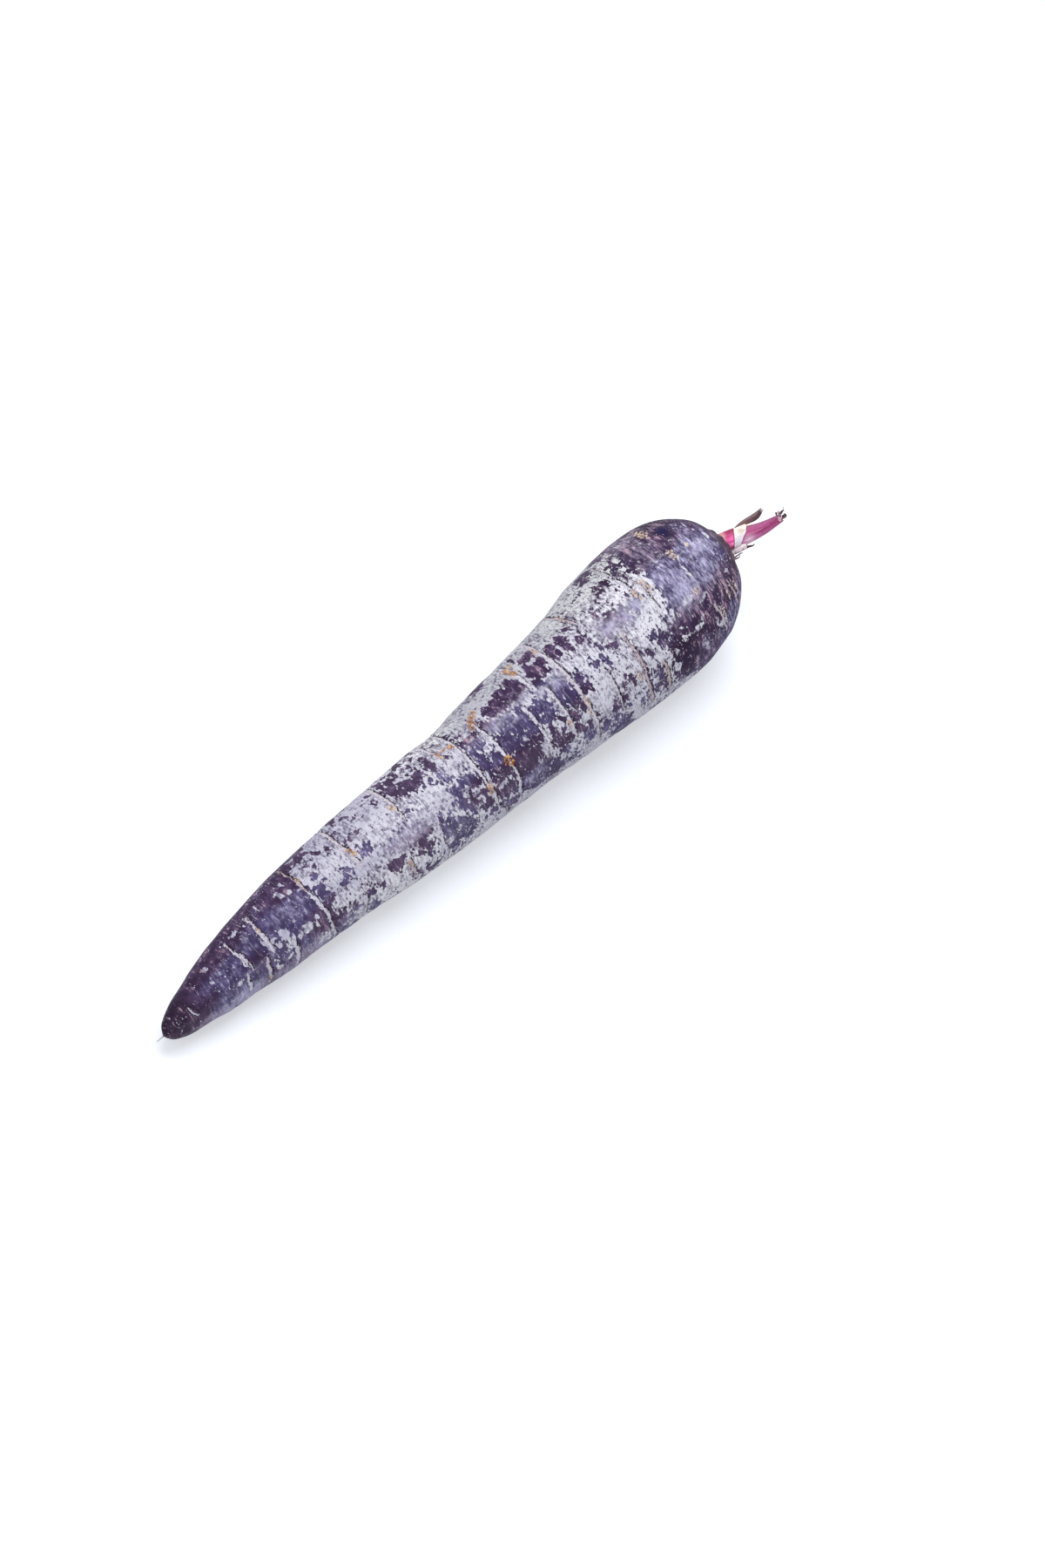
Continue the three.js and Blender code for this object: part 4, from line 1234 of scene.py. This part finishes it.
def build_main_stalk(shift):
    """The thick stub, torn off at a jagged dark rim round pale pith."""
    turn = turns_round(STUB_SIDES)
    torn = 0.968 - 0.026 * np.cos(turn) + 0.008 * np.sin(5 * turn + 1) * np.sin(2 * turn)
    torn += 0.006 * np.sin(13 * turn) + 0.004 * np.sin(22 * turn + 2)
    stops = [(0 * turn, 1, 0), (0 * turn + 0.9, 1, 70), (torn, 0.97, 16), (torn - 0.003, 0.86, 3)]
    grid, share, is_cap = stub_rings(MAIN_PATH, MAIN_SECTIONS, stops, ribs(3, 0.03, 14))
    tint = stub_tint(MAIN_GROUND, MAIN_TINTS, share, turn)
    rim = smooth_step(share, torn - 0.008, torn - 0.001)
    tint = painted(tint, (98, 56, 66), 0.9 * rim * (0.55 + 0.45 * np.sin(7 * turn + 1)))
    tint = painted(tint, (120, 70, 84), smooth_step(is_cap, 0.01, 0.06))
    pith = smooth_step(is_cap, 0.10, 0.30) * (0.7 + 0.3 * np.sin(3 * turn + 5))
    tint = painted(tint, (240, 200, 212), pith)
    material = stalk_material("stalk_magenta", roughness=0.45, blotches=0.04)
    piece = place_piece("main_stalk", [(grid, tint)], shift, material)
    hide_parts("main_petiole")


def build_outer_stalk(shift):
    """The outer stalk's base: its skin ends at one slanting cut, its flesh further on at another."""
    turn = turns_round(STUB_SIDES)
    skin_end = outer_cut(turn, 0.77, 0.85, 0.85, 0.15) + 0.004 * np.sin(9 * turn) * np.sin(4 * turn + 1)
    far_end = outer_cut(turn, 1.0, 1.85, 1.6, -0.45) + 0.006 * np.sin(6 * turn + 2)
    facing_us = np.maximum(np.cos(turn), 0)
    stops = [
        (0 * turn, 1, 0), (skin_end, 1, 60), (skin_end + 0.004, 0.955, 3), (skin_end + 0.02, 0.93, 5),
        (far_end, 0.95 - 0.20 * facing_us, 40),
    ]
    grid, share, is_cap = stub_rings(OUTER_PATH, OUTER_SECTIONS, stops, ribs(5, 0.012, 12), sink=0.5)
    # The skin's and flesh's tints carry painted shade and painted highlights.
    skin = stub_tint(OUTER_GROUND, OUTER_TINTS_AND_SHADING, share, turn)
    skin = painted(skin, (136, 44, 86), np.exp(-((share - skin_end) / 0.014) ** 2))
    flesh = stub_tint(FLESH_GROUND, FLESH_TINTS_AND_SHADING, share, turn)
    is_flesh = smooth_step(share, skin_end, skin_end + 0.008)[..., None]
    tint = painted(skin * (1 - is_flesh) + flesh * is_flesh, (226, 190, 168), smooth_step(is_cap, 0.05, 0.2))
    material = stalk_material("stalk_cut", roughness=0.5, blotches=0.03)
    piece = place_piece("outer_stalk_base", [(grid, tint)], shift, material)
    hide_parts("outer_petiole_base")


def build_dry_stalk(shift):
    """The thin dried stub, with a ragged end."""
    turn = turns_round(STUB_SIDES)
    end = 0.985 + 0.012 * np.sin(3 * turn) + 0.008 * np.sin(7 * turn + 1)
    stops = [(0 * turn, 1, 0), (end, 1, 90)]
    grid, share, is_cap = stub_rings(DRY_PATH, DRY_SECTIONS, stops, ribs(7, 0.07, 12), cap_rings=6)
    tint = stub_tint(DRY_GROUND, DRY_TINTS, share, turn)
    tint = painted(tint, (150, 136, 128), smooth_step(is_cap, 0.05, 0.4))
    material = stalk_material("stalk_dry", roughness=0.7, blotches=0.02)
    piece = place_piece("dry_stalk", [(grid, tint)], shift, material)
    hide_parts("dry_petiole")


def build_lower_stub(shift):
    """The pale stub below, which narrows to a ragged end."""
    turn = turns_round(STUB_SIDES)
    end = 0.96 + 0.02 * np.sin(2 * turn) + 0.02 * np.sin(5 * turn + 1)
    stops = [(0 * turn, 1, 0), (end, 0.9, 60)]
    grid, share, is_cap = stub_rings(LOWER_PATH, LOWER_SECTIONS, stops, ribs(8, 0.04, 10), cap_rings=6)
    tint = stub_tint(LOWER_GROUND, LOWER_TINTS, share, turn)
    tint = painted(tint, (110, 84, 78), smooth_step(is_cap, 0.05, 0.4))
    material = stalk_material("stalk_pale", roughness=0.6, blotches=0.08)
    piece = place_piece("lower_stalk_stub", [(grid, tint)], shift, material)
    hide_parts("lower_petiole_stub")


def fibre_shell(points, first_size, last_size, colour, facing=STUB_FACING, flatness=1.0):
    """One tapering fibre or scale along points, its first and last oval's width given."""
    turn = turns_round(FIBRE_SIDES)
    sections = [(first_size, first_size * flatness), (last_size, last_size * flatness)]
    stops = [(0 * turn, 1, 0), (0 * turn + 1, 1, 14)]
    relief = ribs(len(points), 0.10, 5)
    grid, share, _ = stub_rings(points, sections, stops, relief, cap_rings=3, sink=0.0, facing=facing)
    return grid, streaked_tint(colour, FIBRE_STREAKS, share, turn)


def build_torn_fibres(shift):
    """All the loose fibres at the stubs' ends, as one piece."""
    shells = [fibre_shell(*fibre) for fibre in FIBRES]
    material = stalk_material("torn_fibre", roughness=0.75, blotches=0.02)
    place_piece("torn_fibres", shells, shift, material)


def build_crown_scales(shift):
    """A ring of small dried leaf bases close round the stubs."""
    rng = np.random.default_rng(SCALE_SEED)
    shells = []
    for number in range(SCALE_COUNT):
        around = 2 * math.pi * (number + rng.uniform(-SCALE_STRAY, SCALE_STRAY)) / SCALE_COUNT
        radial = np.array([0, -math.sin(around), math.cos(around)])
        height = rng.uniform(*SCALE_HEIGHTS)
        lean = rng.uniform(*SCALE_LEANS)
        steps = [(-0.8, 0), (0.3 * height, 0.1), (0.7 * height, -0.4 * lean), (height, -lean)]
        points = [CROWN_MIDDLE + (rise, 0, 0) + radial * (CROWN_REACH + out) for rise, out in steps]
        colour = SCALE_FAIR + (SCALE_DARK - SCALE_FAIR) * rng.uniform(0, 1)
        width = rng.uniform(*SCALE_WIDTHS)
        shells.append(fibre_shell(points, width, SCALE_TIP_WIDTH, colour, radial, SCALE_FLATNESS))
    material = stalk_material("crown_scale", roughness=0.7, blotches=0.02)
    place_piece("crown_scales", shells, shift, material)


# ---------------------------------------------------------------- floor, light and camera

# From here on, lengths are in metres, apart from the camera's lens and sensor.
FLOOR_HALF_SIZE = 12.0
FLOOR_TONE = (0.56, 0.57, 0.60, 1)
# The glow that the camera sees: its colour, the distances between which it grows, and its strengths.
GLOW_TONE = (0.97, 0.98, 1, 1)
GLOW_REACH = (0.35, 1.6)
GLOW_STRENGTHS = (0.46, 0.62)
FILL_TONE = (0.90, 0.93, 1.0, 1)
FILL_STRENGTH = 0.78
KEY_PLACE = (0.50, 0.12, 1.30)
KEY_SIZE = (1.1, 0.6)
KEY_POWER = 15.0
KEY_TONE = (0.94, 0.97, 1.0)

CAMERA_AZIMUTH = math.radians(-43.97)
CAMERA_ELEVATION = math.radians(59.3)
CAMERA_DISTANCE = 1.0
CAMERA_LENS = 79.58
CAMERA_SENSOR = 36.0
CAMERA_AIM = Vector((0.00650, -0.01269, 0.015))


def build_floor():
    """A plain floor, which glows to the camera, more so further off."""
    mesh = bpy.data.meshes.new("floor")
    signs = [(-1, -1), (1, -1), (1, 1), (-1, 1)]
    mesh.from_pydata([(x * FLOOR_HALF_SIZE, y * FLOOR_HALF_SIZE, 0) for x, y in signs], [], [(0, 1, 2, 3)])
    floor = add_object("floor", mesh)
    shader = Shader("floor_white")
    shader.surface.inputs["Base Color"].default_value = FLOOR_TONE
    shader.surface.inputs["Roughness"].default_value = 0.8
    shader.surface.inputs["Specular IOR Level"].default_value = 0.1
    shader.surface.inputs["Emission Color"].default_value = GLOW_TONE
    away = shader.node("VectorMath", {0: shader.place}, "Value", operation="LENGTH")
    glow = shader.times(shader.seeing_ray(), shader.step(away, *GLOW_REACH, *GLOW_STRENGTHS))
    shader.plug(shader.surface.inputs["Emission Strength"], glow)
    floor.data.materials.append(shader.material)


def build_world():
    """White to the camera, and a soft, slightly blue fill as light."""
    world = bpy.data.worlds.new("studio")
    world.use_nodes = True
    bpy.context.scene.world = world
    nodes = Nodes(world.node_tree)
    white = nodes.tree.nodes["Background"]
    white.inputs["Color"].default_value = (1, 1, 1, 1)
    fill = nodes.node("Background", {"Color": FILL_TONE, "Strength": FILL_STRENGTH})
    seen = nodes.node("MixShader", {"Fac": nodes.seeing_ray(), 1: fill, 2: white.outputs[0]})
    nodes.plug(nodes.tree.nodes["World Output"].inputs["Surface"], seen)


def build_key_light():
    """One large soft light, aimed at the origin."""
    light = bpy.data.lights.new("key", "AREA")
    light.shape = "RECTANGLE"
    light.size, light.size_y = KEY_SIZE
    light.energy = KEY_POWER
    light.color = KEY_TONE
    key = add_object("key", light)
    key.location = KEY_PLACE
    key.rotation_euler = (-Vector(KEY_PLACE)).to_track_quat("-Z", "Y").to_euler()


def build_camera():
    """The camera, placed so that the carrot has the outline that it has in the photo."""
    lens = bpy.data.cameras.new("camera")
    lens.sensor_width = CAMERA_SENSOR
    lens.lens = CAMERA_LENS
    lens.clip_start = 0.05
    lens.clip_end = 20.0
    back = Vector((
        math.sin(CAMERA_AZIMUTH) * math.cos(CAMERA_ELEVATION),
        -math.cos(CAMERA_AZIMUTH) * math.cos(CAMERA_ELEVATION),
        math.sin(CAMERA_ELEVATION),
    ))
    camera = add_object("camera", lens)
    camera.location = CAMERA_AIM + back * CAMERA_DISTANCE
    camera.rotation_euler = (-back).to_track_quat("-Z", "Y").to_euler()
    bpy.context.scene.camera = camera


root_shift = build_root()
build_main_stalk(root_shift)
build_outer_stalk(root_shift)
build_dry_stalk(root_shift)
build_lower_stub(root_shift)
build_torn_fibres(root_shift)
build_crown_scales(root_shift)
build_floor()
build_world()
build_key_light()
build_camera()
bpy.context.scene.view_settings.view_transform = "Standard"
